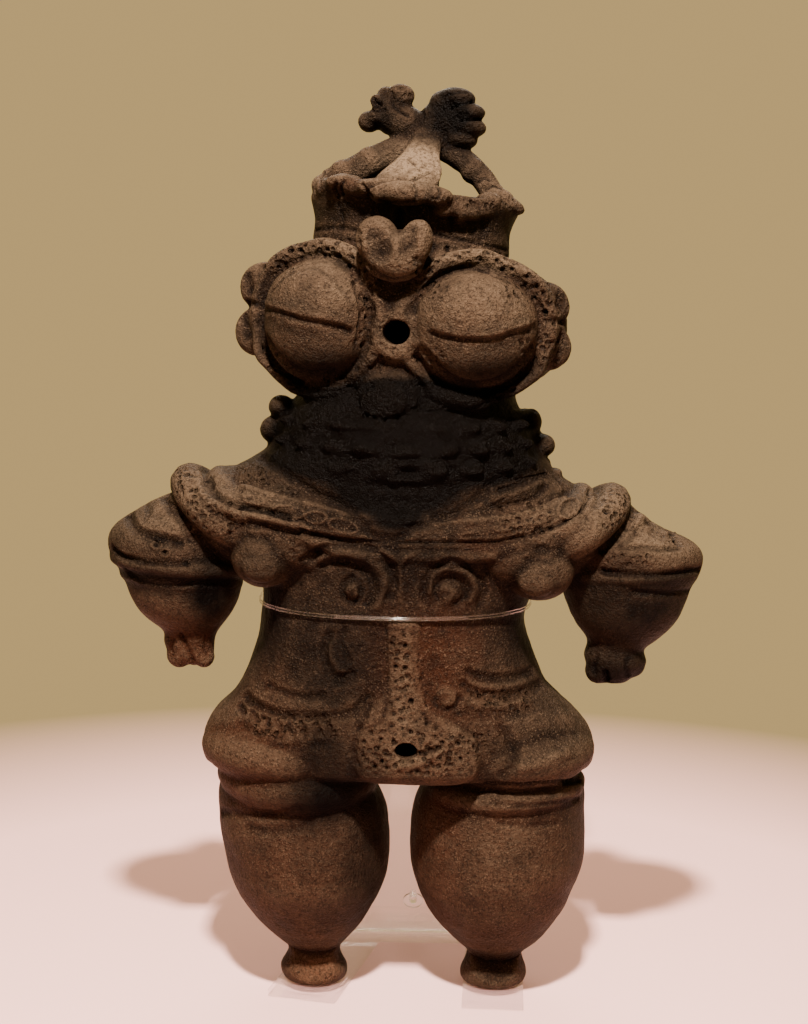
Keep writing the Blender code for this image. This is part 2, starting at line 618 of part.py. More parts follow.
def make_base(group, finish):
    """The base: a bar behind the feet with a tongue under each foot."""
    left, right = STAND_MIDDLE - BAR_WIDTH / 2, STAND_MIDDLE + BAR_WIDTH / 2
    outline = [(left, BAR_FRONT), (left, BAR_FRONT + BAR_DEPTH), (right, BAR_FRONT + BAR_DEPTH), (right, BAR_FRONT)]
    outline += tongue_corners(FOOT_SPOTS[1], RIGHT_TONGUE_WIDTH, RIGHT_TONGUE_REACH, RIGHT_TONGUE_TURN)
    outline += tongue_corners(FOOT_SPOTS[0], LEFT_TONGUE_WIDTH, LEFT_TONGUE_REACH, LEFT_TONGUE_TURN)
    return plate("stand_base", outline, BASE_THICKNESS, group, finish)


def line_height(y):
    """Height of the waist line at a distance behind the figure's middle."""
    slope = (LINE_SIDE_HEIGHT - LINE_FRONT_HEIGHT) / WAIST_FRONT
    return SOLE_HEIGHT + LINE_SIDE_HEIGHT * SHARE + slope * y


def upright_faces():
    """The front and back faces of the upright."""
    front = BAR_FRONT + UPRIGHT_SETBACK
    return front, front + UPRIGHT_THICKNESS


def make_upright(group, cutters, finish):
    """The clear plate behind the legs, bored for the line and for the screw."""
    front, back = upright_faces()
    bottom = BASE_THICKNESS + TOUCH_GAP
    height = line_height((front + back) / 2) + UPRIGHT_ABOVE_LINE - bottom
    half = UPRIGHT_WIDTH / 2
    outline = [(-half, 0), (half, 0)]
    for corner, start in ((half - UPRIGHT_CORNER, 0), (UPRIGHT_CORNER - half, 90)):
        for step in range(7):
            angle = math.radians(start + 15 * step)
            x = corner + UPRIGHT_CORNER * math.cos(angle)
            outline.append((x, height - UPRIGHT_CORNER + UPRIGHT_CORNER * math.sin(angle)))
    stand_up = Matrix.Translation((STAND_MIDDLE, back, bottom)) @ Matrix.Rotation(math.radians(90), 4, "X")
    upright = plate("stand_upright", outline, UPRIGHT_THICKNESS, group, finish, stand_up)
    along = Matrix.Rotation(math.radians(-90), 4, "X")
    start = front - UPRIGHT_THICKNESS / 2
    bore = LINE_RADIUS + LINE_CLEARANCE
    for side in (-1, 1):
        spot = (STAND_MIDDLE + side * LINE_HOLE_SPACING / 2, start, line_height((front + back) / 2))
        hole = rod(f"line_hole_{side}", (bore, bore), 2 * UPRIGHT_THICKNESS, Matrix.Translation(spot) @ along, cutters)
        add_boolean(upright, hide(hole), "DIFFERENCE")
    bore = SCREW_SHANK_RADIUS + TOUCH_GAP
    spot = (STAND_MIDDLE + SCREW_FROM_MIDDLE, start, SCREW_HEIGHT)
    hole = rod("screw_hole", (bore, bore), 2 * UPRIGHT_THICKNESS, Matrix.Translation(spot) @ along, cutters)
    add_boolean(upright, hide(hole), "DIFFERENCE")
    return upright


def make_screw(group, cutters, finish):
    """The oval-headed screw through the upright."""
    front, back = upright_faces()
    along = Matrix.Rotation(math.radians(-90), 4, "X")
    face = front - TOUCH_GAP - SCREW_HEAD_THICKNESS
    spot = Vector((STAND_MIDDLE + SCREW_FROM_MIDDLE, face, SCREW_HEIGHT))
    half = (SCREW_HEAD_WIDTH / 2, SCREW_HEAD_TALL / 2)
    screw = rod("stand_screw", half, SCREW_HEAD_THICKNESS, Matrix.Translation(spot) @ along, group, 24)
    screw.data.materials.append(finish)
    length = back + SCREW_END - face - SCREW_HEAD_THICKNESS / 2
    inside = spot + Vector((0, SCREW_HEAD_THICKNESS / 2, 0))
    place = Matrix.Translation(inside) @ along
    shank = rod("screw_shank", (SCREW_SHANK_RADIUS,) * 2, length, place, cutters)
    add_boolean(screw, hide(shank), "UNION")
    return screw


def make_line(figure, group, finish):
    """The clear line: taut round the waist, through the upright's holes and across behind it."""
    graph = bpy.context.evaluated_depsgraph_get()
    skin = BVHTree.FromObject(figure, graph)
    middle = Vector((WAIST_MIDDLE[0] * SHARE, WAIST_MIDDLE[1] * SHARE, line_height(0)))
    stand_off = LINE_RADIUS + LINE_CLEARANCE
    around = []
    for turn in range(LINE_STEPS):
        angle = 2 * math.pi * turn / LINE_STEPS
        heading = Vector((math.cos(angle), math.sin(angle), 0))
        heading.z = line_height(heading.y) - line_height(0)
        hit = skin.ray_cast(middle, heading.normalized())[0]
        reach = (hit - middle).xy.length + stand_off
        around.append((middle.x + reach * math.cos(angle), middle.y + reach * math.sin(angle)))
    front, back = upright_faces()
    holes = [STAND_MIDDLE - LINE_HOLE_SPACING / 2, STAND_MIDDLE + LINE_HOLE_SPACING / 2]
    mouths = [(hole, front - 2 * stand_off) for hole in holes]
    spots = around + mouths
    hull = [spots[index] for index in convex_hull_2d(spots)]
    if sum(a[0] * b[1] - b[0] * a[1] for a, b in zip(hull, hull[1:] + hull[:1])) < 0:
        hull.reverse()
    first = hull.index(mouths[0])
    taut = hull[first:] + hull[:first]
    turn_room = 2 * stand_off
    behind = [
        (holes[1], back + LINE_RADIUS), (holes[1] - turn_room, back + turn_room),
        (STAND_MIDDLE, back + turn_room),
        (holes[0] + turn_room, back + turn_room), (holes[0], back + LINE_RADIUS),
    ]
    least_step = 4 * LINE_RADIUS
    route = [taut[0]]
    for spot in taut[1:] + behind:
        if math.dist(spot, route[-1]) > least_step or spot in mouths or spot in behind:
            route.append(spot)
    data = bpy.data.curves.new("waist_line", "CURVE")
    data.dimensions = "3D"
    data.bevel_depth = LINE_RADIUS
    data.bevel_resolution = 2
    spline = data.splines.new("POLY")
    spline.points.add(len(route) - 1)
    for point, (x, y) in zip(spline.points, route):
        point.co = (x, y, line_height(y), 1)
    spline.use_cyclic_u = True
    line = bpy.data.objects.new("waist_line", data)
    data.materials.append(finish)
    group.objects.link(line)
    return line


def centre_over_origin(pieces, cutters):
    """Bring the middle of the whole outline over the origin, with the underside on the ground."""
    bpy.context.view_layer.update()
    graph = bpy.context.evaluated_depsgraph_get()
    corners = []
    for piece in pieces:
        shape = piece.evaluated_get(graph).to_mesh()
        corners += [tuple(vertex.co) for vertex in shape.vertices]
        piece.evaluated_get(graph).to_mesh_clear()
    corners = np.array(corners)
    middle = (corners.min(axis=0) + corners.max(axis=0)) / 2
    shift = Matrix.Translation((-middle[0], -middle[1], 0))
    for piece in list(pieces) + list(cutters.objects):
        piece.data.transform(shift)
        piece.data.update_tag()


def main():
    """Build the figure and its stand."""
    clear_scene()
    parts = collection("goggle_eyed_dogu")
    cutters = collection("cutters")
    clay = material("fired_clay", (0.12, 0.075, 0.05), 0.8)
    acrylic = material("clear_acrylic", (0.95, 0.97, 0.97), 0.05, 1.0)
    figure = make_figure(parts, cutters, clay)
    base = make_base(parts, acrylic)
    upright = make_upright(parts, cutters, acrylic)
    screw = make_screw(parts, cutters, acrylic)
    line = make_line(figure, parts, acrylic)
    centre_over_origin((figure, base, upright, screw, line), cutters)


main()
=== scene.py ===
"""Looks of the goggle-eyed fired-clay figure on its clear stand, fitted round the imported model.

Metres, +Z up, the figure faces -Y. The clay is set out in shares, 357 to the figure's height.
Front marks are places in the camera's own frame, which a node tree casts onto the clay.
"""

import json
import math

import bmesh
import bpy
import numpy as np
from mathutils import Matrix, Vector
from mathutils.bvhtree import BVHTree

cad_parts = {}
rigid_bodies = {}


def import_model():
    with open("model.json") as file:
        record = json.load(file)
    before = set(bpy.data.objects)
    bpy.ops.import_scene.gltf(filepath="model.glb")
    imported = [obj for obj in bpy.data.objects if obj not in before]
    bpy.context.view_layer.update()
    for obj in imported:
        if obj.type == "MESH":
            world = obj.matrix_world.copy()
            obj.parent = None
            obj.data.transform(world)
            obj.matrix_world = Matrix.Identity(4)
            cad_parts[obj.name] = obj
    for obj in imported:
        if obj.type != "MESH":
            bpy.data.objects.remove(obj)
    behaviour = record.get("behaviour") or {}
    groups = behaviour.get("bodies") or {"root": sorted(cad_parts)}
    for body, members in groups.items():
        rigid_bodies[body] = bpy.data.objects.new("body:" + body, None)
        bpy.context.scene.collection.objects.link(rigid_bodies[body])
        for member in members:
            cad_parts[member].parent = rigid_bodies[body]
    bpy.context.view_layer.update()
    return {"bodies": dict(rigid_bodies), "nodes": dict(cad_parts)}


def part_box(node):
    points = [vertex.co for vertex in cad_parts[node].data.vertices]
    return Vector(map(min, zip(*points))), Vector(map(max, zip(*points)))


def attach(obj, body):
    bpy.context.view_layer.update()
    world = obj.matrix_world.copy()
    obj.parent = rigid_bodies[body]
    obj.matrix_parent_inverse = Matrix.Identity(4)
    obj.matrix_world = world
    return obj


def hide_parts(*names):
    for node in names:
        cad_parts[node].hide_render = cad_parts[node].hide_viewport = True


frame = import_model()
for left_over in list(bpy.data.objects):
    if left_over not in frame["nodes"].values() and left_over not in frame["bodies"].values():
        bpy.data.objects.remove(left_over, do_unlink=True)

# Where the figure stands: its own middle is set back from the upright by fixed steps of the stand
SHARE = 0.001
MM = 0.001
STAND_MIDDLE = 0.004
UPRIGHT_FRONT = 0.049
UPRIGHT_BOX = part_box("stand_upright")
FIGURE_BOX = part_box("dogu_figure")
MIDDLE = Vector((
    (UPRIGHT_BOX[0].x + UPRIGHT_BOX[1].x) / 2 - STAND_MIDDLE,
    UPRIGHT_BOX[0].y - UPRIGHT_FRONT,
    FIGURE_BOX[0].z,
))
FIGURE_PLACE = Matrix.Translation(MIDDLE) @ Matrix.Scale(SHARE, 4)

# The camera: picture size in dots, sensor in millimetres, then in dots its focal length and how far
# the horizon lies over the picture's middle, then its place, pitch and roll
PICTURE_WIDE, PICTURE_TALL = 808, 1024
SENSOR = 36
FOCAL = 1512.0
HORIZON_RISE = 140
EYE = MIDDLE + Vector((0, -0.600, 0.2467))
PITCH = math.atan(HORIZON_RISE / FOCAL)
ROLL = math.radians(1.0)
AHEAD = Vector((0, math.cos(PITCH), -math.sin(PITCH)))
LEVEL_UP = Vector((0, math.sin(PITCH), math.cos(PITCH)))
LEVEL_RIGHT = Vector((1, 0, 0))
RIGHT = math.cos(ROLL) * LEVEL_RIGHT + math.sin(ROLL) * LEVEL_UP
UP = -math.sin(ROLL) * LEVEL_RIGHT + math.cos(ROLL) * LEVEL_UP

# Front marks are set out on a plane this far ahead of the camera, in metres, and marks of the back on
# a plane this far behind the figure's middle, in shares, seen from a spot well behind it
MARK_DISTANCE = 0.56
BACK_PLANE = 70.0
BEHIND_EYE = MIDDLE + Vector((0, 4.0, 0.18))

# Fineness of the clay, in shares, and how many triangles it keeps
FINE_VOXEL = 0.62
CLAY_TRIANGLES = 192000

# Where the head sits on the neck, how it is turned and tilted, in shares and degrees
HEAD_CENTRE = Vector((-1.0, 0.0, 266.0))
HEAD_YAW = -8.0
HEAD_TILT = 3.5

# The eyes in the head's own frame: middle of the dome, turn in degrees, half sizes and depth
EYES = {
    "left": {"spot": (-29.3, -30.0, -2.4), "turn": -13.0, "half": (21.2, 23.2), "dome": 17.6},
    "right": {"spot": (31.2, -30.0, -1.5), "turn": 13.0, "half": (23.4, 22.0), "dome": 17.6},
}
OPEN_RIM_SINK = 3.2

# Depth of the limbs as a share of their width, and where the arms' middles lie along Y, in shares
LEG_DEPTH = 0.95
ARM_DEPTH = 0.9
ARM_MIDDLE = -4.0

# Clay rolls: steps between their points, and how they thin towards an open end
ROLL_STEPS = 5
THIN_ENDS = (0.45, 0.8)

# Worn edges of the feet: across, back, up in shares, and slope, then their half width and height in
# shares, and how much of what stands proud is gone
WORN_EDGES = [(-33.2, -9.6, 7.0, 0.55), (39.8, -10.6, 5.0, 0.70)]
WORN_HALF_WIDTH = 20
WORN_HEIGHT = 9
WORN_AWAY = 0.9

# Small and wide hollows: rounds of softening, and the depth in metres that counts as full
SMALL_HOLLOWS = (4, 0.00035)
WIDE_HOLLOWS = (40, 0.0016)

# The stand's broken edges, in metres
EDGE_WIDTH = 0.0003

# The line: radii of its strands and sleeve and the strands' lift, in millimetres, then in metres the
# strands' inset, half the sleeve's length, the thickness of its tube and a step inside the tube's skin
STRAND_RADIUS = 0.27
SLEEVE_RADIUS = 0.34
STRAND_LIFT = 0.52
STRAND_INSET = 0.0003
SLEEVE_HALF = 0.027
TUBE_THICK = 0.0018
JUST_INSIDE = 0.0002

# The room: colours of floor and wall, the floor's radius, gap and fade in metres, and the lit spot
FLOOR_COLOUR = (0.80, 0.475, 0.455)
FLOOR_RADIUS = 1.6
FLOOR_GAP = 0.0004
FLOOR_FADE = (0.27, 0.52)
WALL_COLOUR = (0.98, 0.66, 0.26)
WALL_STRENGTH = 0.60
LIT_SPOT = (0, 0, 0.2)


def linked(name, data):
    """A new object, put in the scene."""
    piece = bpy.data.objects.new(name, data)
    bpy.context.scene.collection.objects.link(piece)
    return piece


def add_camera():
    """The camera at the photograph's place."""
    lens = bpy.data.cameras.new("camera")
    lens.sensor_width = SENSOR
    lens.sensor_fit = "AUTO"
    lens.lens = SENSOR * FOCAL / PICTURE_TALL
    camera = linked("camera", lens)
    turn = Matrix((RIGHT, UP, -AHEAD)).transposed().to_4x4()
    camera.matrix_world = Matrix.Translation(EYE) @ turn
    bpy.context.scene.camera = camera


# Shapes in clay

def smooth_path(points, steps=4, closed=False):
    """Points on a smooth curve through the given rows of numbers."""
    rows = [np.array(row, dtype=float) for row in points]
    count = len(rows)
    spans = count if closed else count - 1
    curve = []
    for span in range(spans):
        if closed:
            before, start, end, after = (rows[(span + shift) % count] for shift in (-1, 0, 1, 2))
        else:
            start, end = rows[span], rows[span + 1]
            before = rows[span - 1] if span else 2 * start - end
            after = rows[span + 2] if span + 2 < count else 2 * end - start
        for step in range(steps):
            t = step / steps
            curve.append(0.5 * (
                2 * start
                + (end - before) * t
                + (2 * before - 5 * start + 4 * end - after) * t ** 2
                + (3 * start - before - 3 * end + after) * t ** 3
            ))
    if not closed:
        curve.append(rows[-1])
    return curve


def round_angles(count):
    """Angles spread evenly round a circle."""
    return [2 * math.pi * turn / count for turn in range(count)]


def boxed(value, square):
    """A sine or cosine pushed outwards, so that the round it makes is a little square."""
    return math.copysign(abs(value) ** (2 / square), value)


def loft(clay, rows, square=2.2, sides=56, steps=3, place=Matrix.Identity(4)):
    """A closed skin through level sections, each given as height, left, right, front, back."""
    unit = [(boxed(math.cos(angle), square), boxed(math.sin(angle), square)) for angle in round_angles(sides)]
    rings = []
    for height, left, right, front, back in smooth_path(rows, steps):
        ring = []
        for across, along in unit:
            x = (left + right) / 2 + (right - left) / 2 * across
            y = (front + back) / 2 + (back - front) / 2 * along
            ring.append(clay.verts.new(place @ Vector((x, y, height))))
        rings.append(ring)
    for low, high in zip(rings, rings[1:]):
        for side in range(sides):
            after = (side + 1) % sides
            clay.faces.new((low[side], low[after], high[after], high[side]))
    clay.faces.new(list(reversed(rings[0])))
    clay.faces.new(rings[-1])


def round_lump():
    """A round lump of radius one, made once and copied for every ball."""
    known = bpy.data.meshes.get("round_lump")
    if known:
        return known
    sphere = bmesh.new()
    bmesh.ops.create_uvsphere(sphere, u_segments=28, v_segments=18, radius=1.0)
    lump = bpy.data.meshes.new("round_lump")
    sphere.to_mesh(lump)
    sphere.free()
    return lump


def ball(clay, centre, radii, turn=(0, 0, 0), place=Matrix.Identity(4)):
    """An egg-shaped lump, turned by angles in degrees about X, Y and Z."""
    spin = Matrix.Rotation(math.radians(turn[2]), 4, "Z")
    spin = spin @ Matrix.Rotation(math.radians(turn[1]), 4, "Y")
    spin = spin @ Matrix.Rotation(math.radians(turn[0]), 4, "X")
    seat = place @ Matrix.Translation(centre) @ spin @ Matrix.Diagonal((*radii, 1.0))
    lump = round_lump().copy()
    lump.transform(seat)
    clay.from_mesh(lump)
    bpy.data.meshes.remove(lump)


def balls(clay, rows, place=Matrix.Identity(4)):
    """Several lumps, each given as its centre, its half sizes and, where it leans, its turn."""
    for row in rows:
        ball(clay, *row, place=place)


def roll(rolls, points, radius, place=Matrix.Identity(4), closed=False):
    """Keep a clay roll: a smooth run of points with its radius, thinned at open ends."""
    curve = smooth_path([(*point, radius) for point in points], ROLL_STEPS, closed)
    run = []
    for index, (x, y, z, wide) in enumerate(curve):
        from_end = min(index, len(curve) - 1 - index)
        if not closed and from_end < len(THIN_ENDS):
            wide *= THIN_ENDS[from_end]
        run.append((*(place @ Vector((x, y, z))), wide))
    rolls.append((run, closed))


def strands_mesh(name, runs, thickness):
    """Round strands as one mesh, each a run of x, y, z and radius, and whether it closes."""
    data = bpy.data.curves.new(name, "CURVE")
    data.dimensions = "3D"
    data.bevel_depth = thickness
    data.bevel_resolution = 3
    data.use_fill_caps = True
    for run, closed in runs:
        spline = data.splines.new("POLY")
        spline.points.add(len(run) - 1)
        for point, (x, y, z, radius) in zip(spline.points, run):
            point.co = (x, y, z, 1.0)
            point.radius = radius
        spline.use_cyclic_u = closed
    holder = linked(name, data)
    bpy.context.view_layer.update()
    graph = bpy.context.evaluated_depsgraph_get()
    shape = bpy.data.meshes.new_from_object(holder.evaluated_get(graph))
    bpy.data.objects.remove(holder, do_unlink=True)
    return shape


# The figure, in shares from the soles up

def head_place():
    """Where the head's own frame sits: turned about Z, tilted about Y."""
    yaw = Matrix.Rotation(math.radians(HEAD_YAW), 4, "Z")
    tilt = Matrix.Rotation(math.radians(HEAD_TILT), 4, "Y")
    return Matrix.Translation(HEAD_CENTRE) @ yaw @ tilt


def limb_rows(outline, depth_share, middle=0.0):
    """Section rows from rows of height, centre and half width."""
    rows = []
    for height, centre, half in outline:
        deep = half * depth_share
        rows.append((height, centre - half, centre + half, middle - deep, middle + deep))
    return rows


def add_legs(clay):
    """Two swollen legs on short flared feet."""
    left = [
        (0, -33.2, 12.4), (2, -33.2, 13.4), (5, -33.7, 13.6), (8, -33.8, 11.8), (11.5, -33.6, 10.4),
        (14.5, -33.6, 11.4), (17.7, -34.0, 14.9), (24.3, -35.0, 21.0), (31, -35.8, 25.5),
        (37.6, -36.1, 29.4), (44.2, -36.2, 31.8), (51, -36.6, 32.9), (57.6, -37.2, 33.8),
        (64.2, -38.1, 34.2), (70.8, -38.7, 33.9), (77.5, -40.2, 32.8), (84, -41.5, 30.0), (92, -42, 24),
    ]
    right = [
        (0, 39.7, 12.4), (2, 39.7, 13.3), (5, 39.9, 13.2), (9, 40.0, 11.6), (12.8, 40.2, 11.2),
        (16.2, 40.5, 15.2), (19.7, 40.4, 19.0), (26.5, 39.6, 24.6), (33.3, 39.7, 28.8),
        (40, 39.5, 31.6), (46.8, 39.8, 34.0), (53.5, 40.1, 35.2), (60.2, 40.1, 35.4),
        (66.8, 40.2, 35.2), (73.5, 40.6, 34.5), (80, 41.7, 33.2), (86, 42.5, 30.5), (93, 43, 24),
    ]
    for outline in (left, right):
        loft(clay, limb_rows(outline, LEG_DEPTH), square=2.05)


def add_body(clay, rolls):
    """Hips, waist, chest, shoulders and the thick neck."""
    loft(clay, [
        (88.5, -64, 64, -24, 28), (90, -74, 72, -33, 35), (92, -78.6, 77, -38, 39),
        (98.7, -79.2, 78, -40, 41), (105, -78, 76.6, -40, 41), (111.7, -73.8, 71.6, -39, 39.5),
        (118.2, -67, 64.5, -37.5, 37.5), (124.7, -63.2, 58, -36.3, 36), (131.3, -60.5, 54.9, -35.4, 34.5),
        (140.7, -57.4, 51.2, -35, 33), (150.7, -56.2, 48.6, -35, 32), (160.7, -55.5, 51.5, -35.8, 32.6),
        (171.7, -57.5, 56, -36.8, 34.5), (180, -62, 60, -37.6, 36), (190, -70, 67, -37.5, 36.5),
        (197, -76, 72, -36.5, 36), (203, -75, 68, -36.4, 35), (208, -68, 60, -37.0, 34),
        (213, -59, 56.5, -37.6, 34), (218.5, -52.5, 52.5, -38.4, 35), (224.7, -52, 50, -38.4, 36),
        (231, -48.5, 46, -37.4, 36), (237.3, -42.5, 43, -34.5, 34), (241, -41, 43.5, -33.5, 33),
        (250, -42, 44, -33, 32),
    ], square=2.35)
    balls(clay, (
        # Hip lobes that hang over the legs
        ((-46.5, -6, 97), (32.6, 34, 14.6), (0, 4, 0)), ((45.5, -6, 97.5), (32.4, 34, 15), (0, -4, 0)),
        ((-46, 12, 97), (32, 31, 15)), ((45, 12, 97), (32, 31, 15)),
        # A soft roll at the top of each leg
        ((-40.8, -4.6, 86.0), (32.4, 33.4, 16.0), (0, 3, 0)),
        ((42.3, -3, 82.5), (32.6, 32.6, 11.0), (0, -4, 0)),
    ))
    # The raised centre band and the apron below it, from the apron's foot up
    loft(clay, [
        (90.5, -13, 24, -38, -20), (93, -15.5, 28, -41.5, -24), (97, -17, 30, -43.4, -26),
        (109, -17, 29, -42.4, -26), (118, -14, 15, -39.6, -26), (126, -7, 8, -37.8, -26),
        (140, -6.5, 6.8, -36.8, -26), (153, -6, 6.5, -36.6, -26),
    ], square=4.5, steps=2)
    balls(clay, (
        # Breasts with low nipples
        ((-53, -24.6, 176), (13.4, 13.2, 12.4)), ((-53.5, -34.2, 173), (7.4, 4.4, 6.6)),
        ((52, -24.6, 172.5), (13.6, 13.2, 12.4)), ((50.5, -34.2, 169.5), (7.4, 4.4, 6.6)),
        # Chest lobes from the breasts up to the shoulders and into the armpits
        ((-61, -13, 185), (16, 19, 13), (0, -25, 0)), ((58, -13, 181), (16, 19, 13), (0, 25, 0)),
        ((-63, -3, 181), (13, 17, 13)), ((61, -3, 179), (13, 17, 13)),
    ))
    # The yoke roll that runs in a U over the chest, and lesser rolls above, between and below
    yoke = [
        (-76, -22, 200), (-67, -29.5, 196.5), (-55, -34.5, 193), (-39, -37.5, 189.5), (-20, -38.3, 185.5),
        (-2, -38.4, 183.6), (16, -38.2, 183.5), (30, -37.6, 184.2), (44, -35.6, 186.2), (56, -32.2, 189.5),
        (66, -28, 194.5), (73, -21, 200),
    ]
    roll(rolls, [(x, y + 2.0, z) for x, y, z in yoke], 2.7)
    roll(rolls, [(x * 0.94, y + 1.2 + abs(x) * 0.02, z + 7.5 - abs(x) * 0.02) for x, y, z in yoke[1:-1]], 1.9)
    roll(rolls, [(x * 0.97, y + 2.2, z + 3.8 - abs(x) * 0.01) for x, y, z in yoke[1:-1]], 2.8)
    roll(rolls, [(x * 0.96, y + 2.6 - abs(x) * 0.01, z - 5.5) for x, y, z in yoke[2:-2]], 3.0)
    # Soft filling between the breasts, the yoke and the shoulder lobes
    balls(clay, (
        ((-50, -24, 187), (16, 12, 9)), ((49, -24, 184), (16, 12, 9)),
        ((-43, -22.4, 181.5), (18, 14.8, 13)), ((42, -22.4, 178.5), (18, 14.8, 13)),
        ((-64, -21, 191), (15, 13.5, 11.5), (0, 25, 0)), ((61, -21, 188), (15, 13.5, 11.5), (0, -25, 0)),
    ))


def add_neck_rolls(clay, rolls):
    """The stacked rolls of the collar, drooping at the front, with knobs at the sides."""
    for height, half_width, front, back, droop, radius in (
        (231.5, 49.0, 36.4, 36.5, 2.5, 1.7),
        (224.8, 51.5, 37.5, 37.0, 3.0, 1.8),
        (217.6, 52.8, 37.5, 36.5, 5.0, 1.8),
        (212.0, 56.0, 36.7, 35.0, 5.0, 1.8),
        (208.0, 61.0, 35.4, 34.5, 7.0, 1.7),
    ):
        fold = []
        for angle in round_angles(20):
            reach = back if math.sin(angle) > 0 else front
            sag = droop * max(0.0, -math.sin(angle)) ** 2
            fold.append((half_width * math.cos(angle), reach * math.sin(angle), height - sag))
        roll(rolls, fold, radius, closed=True)
    # Low lumps in rows over the front of the collar
    for height, half_width, front, droop, count in (
        (228.4, 49.6, 37.8, 2.8, 8), (221.4, 51.6, 38.5, 4.0, 9), (214.8, 53.6, 38.2, 5.0, 8),
    ):
        for step in range(count):
            angle = math.radians(-58 + 116 * step / (count - 1) + 3 * math.sin(7 * step))
            across = math.copysign(abs(math.sin(angle)) ** 0.85, angle)
            along = math.cos(angle) ** 0.85
            sag = droop * math.cos(angle) ** 2
            ball(clay, (half_width * across, -front * along, height - sag), (5.6, 1.6, 2.4))
    balls(clay, (
        ((-48.5, -9, 232.5), (5.2, 7, 4.6)), ((-51.5, -6, 223.5), (5.6, 8, 5.4)),
        ((49, -6, 228), (4.6, 7, 5.4)), ((54.3, -5, 219), (4.6, 7, 4.4)),
    ))


def add_arms(clay, rolls):
    """Short arms: domed upper arm, double band, acorn-shaped forearm and stub fingers."""
    left = [
        (129.5, -82.5, 5.0), (132, -83.4, 8.2), (135, -84.2, 9.4), (139, -84.7, 10.0), (141.5, -84.3, 10.3),
        (143.7, -84.4, 11.6), (146.5, -85.2, 14.4), (150.6, -86.1, 18.2), (156.2, -86.6, 21.3),
        (162, -87.0, 22.9), (166, -87.6, 24.2), (171, -88.6, 25.6), (175.6, -89.8, 26.6),
        (181, -90.2, 26.2), (186, -88.6, 24.4), (191, -85.6, 19.8), (196, -80.5, 15.5), (200, -76, 9),
    ]
    right = [
        (125, 83.6, 6.0), (128, 84.2, 9.4), (132.6, 85.5, 12.0), (136, 84.9, 12.2), (138.8, 85.2, 11.6),
        (142.6, 87.7, 14.0), (147.6, 88.4, 18.6), (153.2, 88.6, 22.0), (159.4, 88.5, 24.2),
        (164.3, 88.6, 25.6), (168.2, 89.8, 26.9), (173, 90.6, 27.8), (178.6, 90.4, 27.5),
        (182.8, 88.7, 24.2), (186.6, 84.6, 19.0), (191.6, 80.6, 14.4), (197, 76, 12), (200, 72, 8),
    ]
    for outline in (left, right):
        loft(clay, limb_rows(outline, ARM_DEPTH, ARM_MIDDLE), square=2.05)
    # The double band, a little higher on one side
    for centre, tilt, height, reach, thick in (
        (-88.0, 2.0, 170.5, 25.0, 3.3), (-88.0, 2.0, 164.3, 21.6, 2.9),
        (89.8, -1.5, 170.2, 25.0, 3.3), (89.8, -1.5, 164.0, 21.6, 2.9),
    ):
        band = []
        for angle in round_angles(16):
            x = centre + reach * math.cos(angle)
            y = ARM_MIDDLE + ARM_DEPTH * reach * math.sin(angle)
            band.append((x, y, height - tilt * math.cos(angle)))
        roll(rolls, band, thick, closed=True)
    # Shoulder lobes, a fat roll laid over each shoulder with a thinner one inside it
    for points, radius in (
        ([
            (-57, -23, 182), (-68, -28.5, 187), (-77, -25, 193.5), (-83, -16, 199.5), (-85.5, -5, 202.4),
            (-84, 9, 201.4), (-76, 22, 194),
        ], 6.9),
        ([(-50, -28.5, 190), (-59, -28, 194), (-67.5, -22, 200), (-72.5, -11, 204), (-72, 6, 204)], 4.6),
        ([
            (55, -23, 179), (66, -28.5, 184), (74.5, -25, 190), (80.5, -16, 195), (82.8, -5, 197.6),
            (81, 9, 196.6), (73, 22, 190),
        ], 6.8),
        ([(48, -28.5, 187), (57, -28, 191), (65, -22, 196.5), (70, -11, 200), (69.5, 6, 200)], 4.4),
    ):
        roll(rolls, points, radius)
    balls(clay, (
        # Filling under the lobes
        ((-65, -19.4, 186), (14, 12.0, 11)), ((-67, -6, 198), (15, 19, 11)),
        ((63, -19.4, 183), (14, 12.0, 11)), ((65, -6, 193), (15, 19, 10)),
        # Cap of the right arm
        ((90, -8, 186), (8.2, 13, 7.8)), ((100, -10, 180), (8.8, 12, 7.0)),
        # Stub fingers
        ((-88.3, -6, 133.6), (5.2, 5.2, 5.6)), ((-78.6, -6, 132.6), (4.3, 5.2, 4.6)),
        ((-83.4, 2, 132), (4.6, 5.2, 4.8)), ((91.0, -6, 132.4), (6.0, 5.2, 5.4)),
        ((78.4, -6, 130), (5.4, 5.2, 5.6)), ((85.5, -4, 129.4), (5.2, 5.2, 5.0)),
    ))


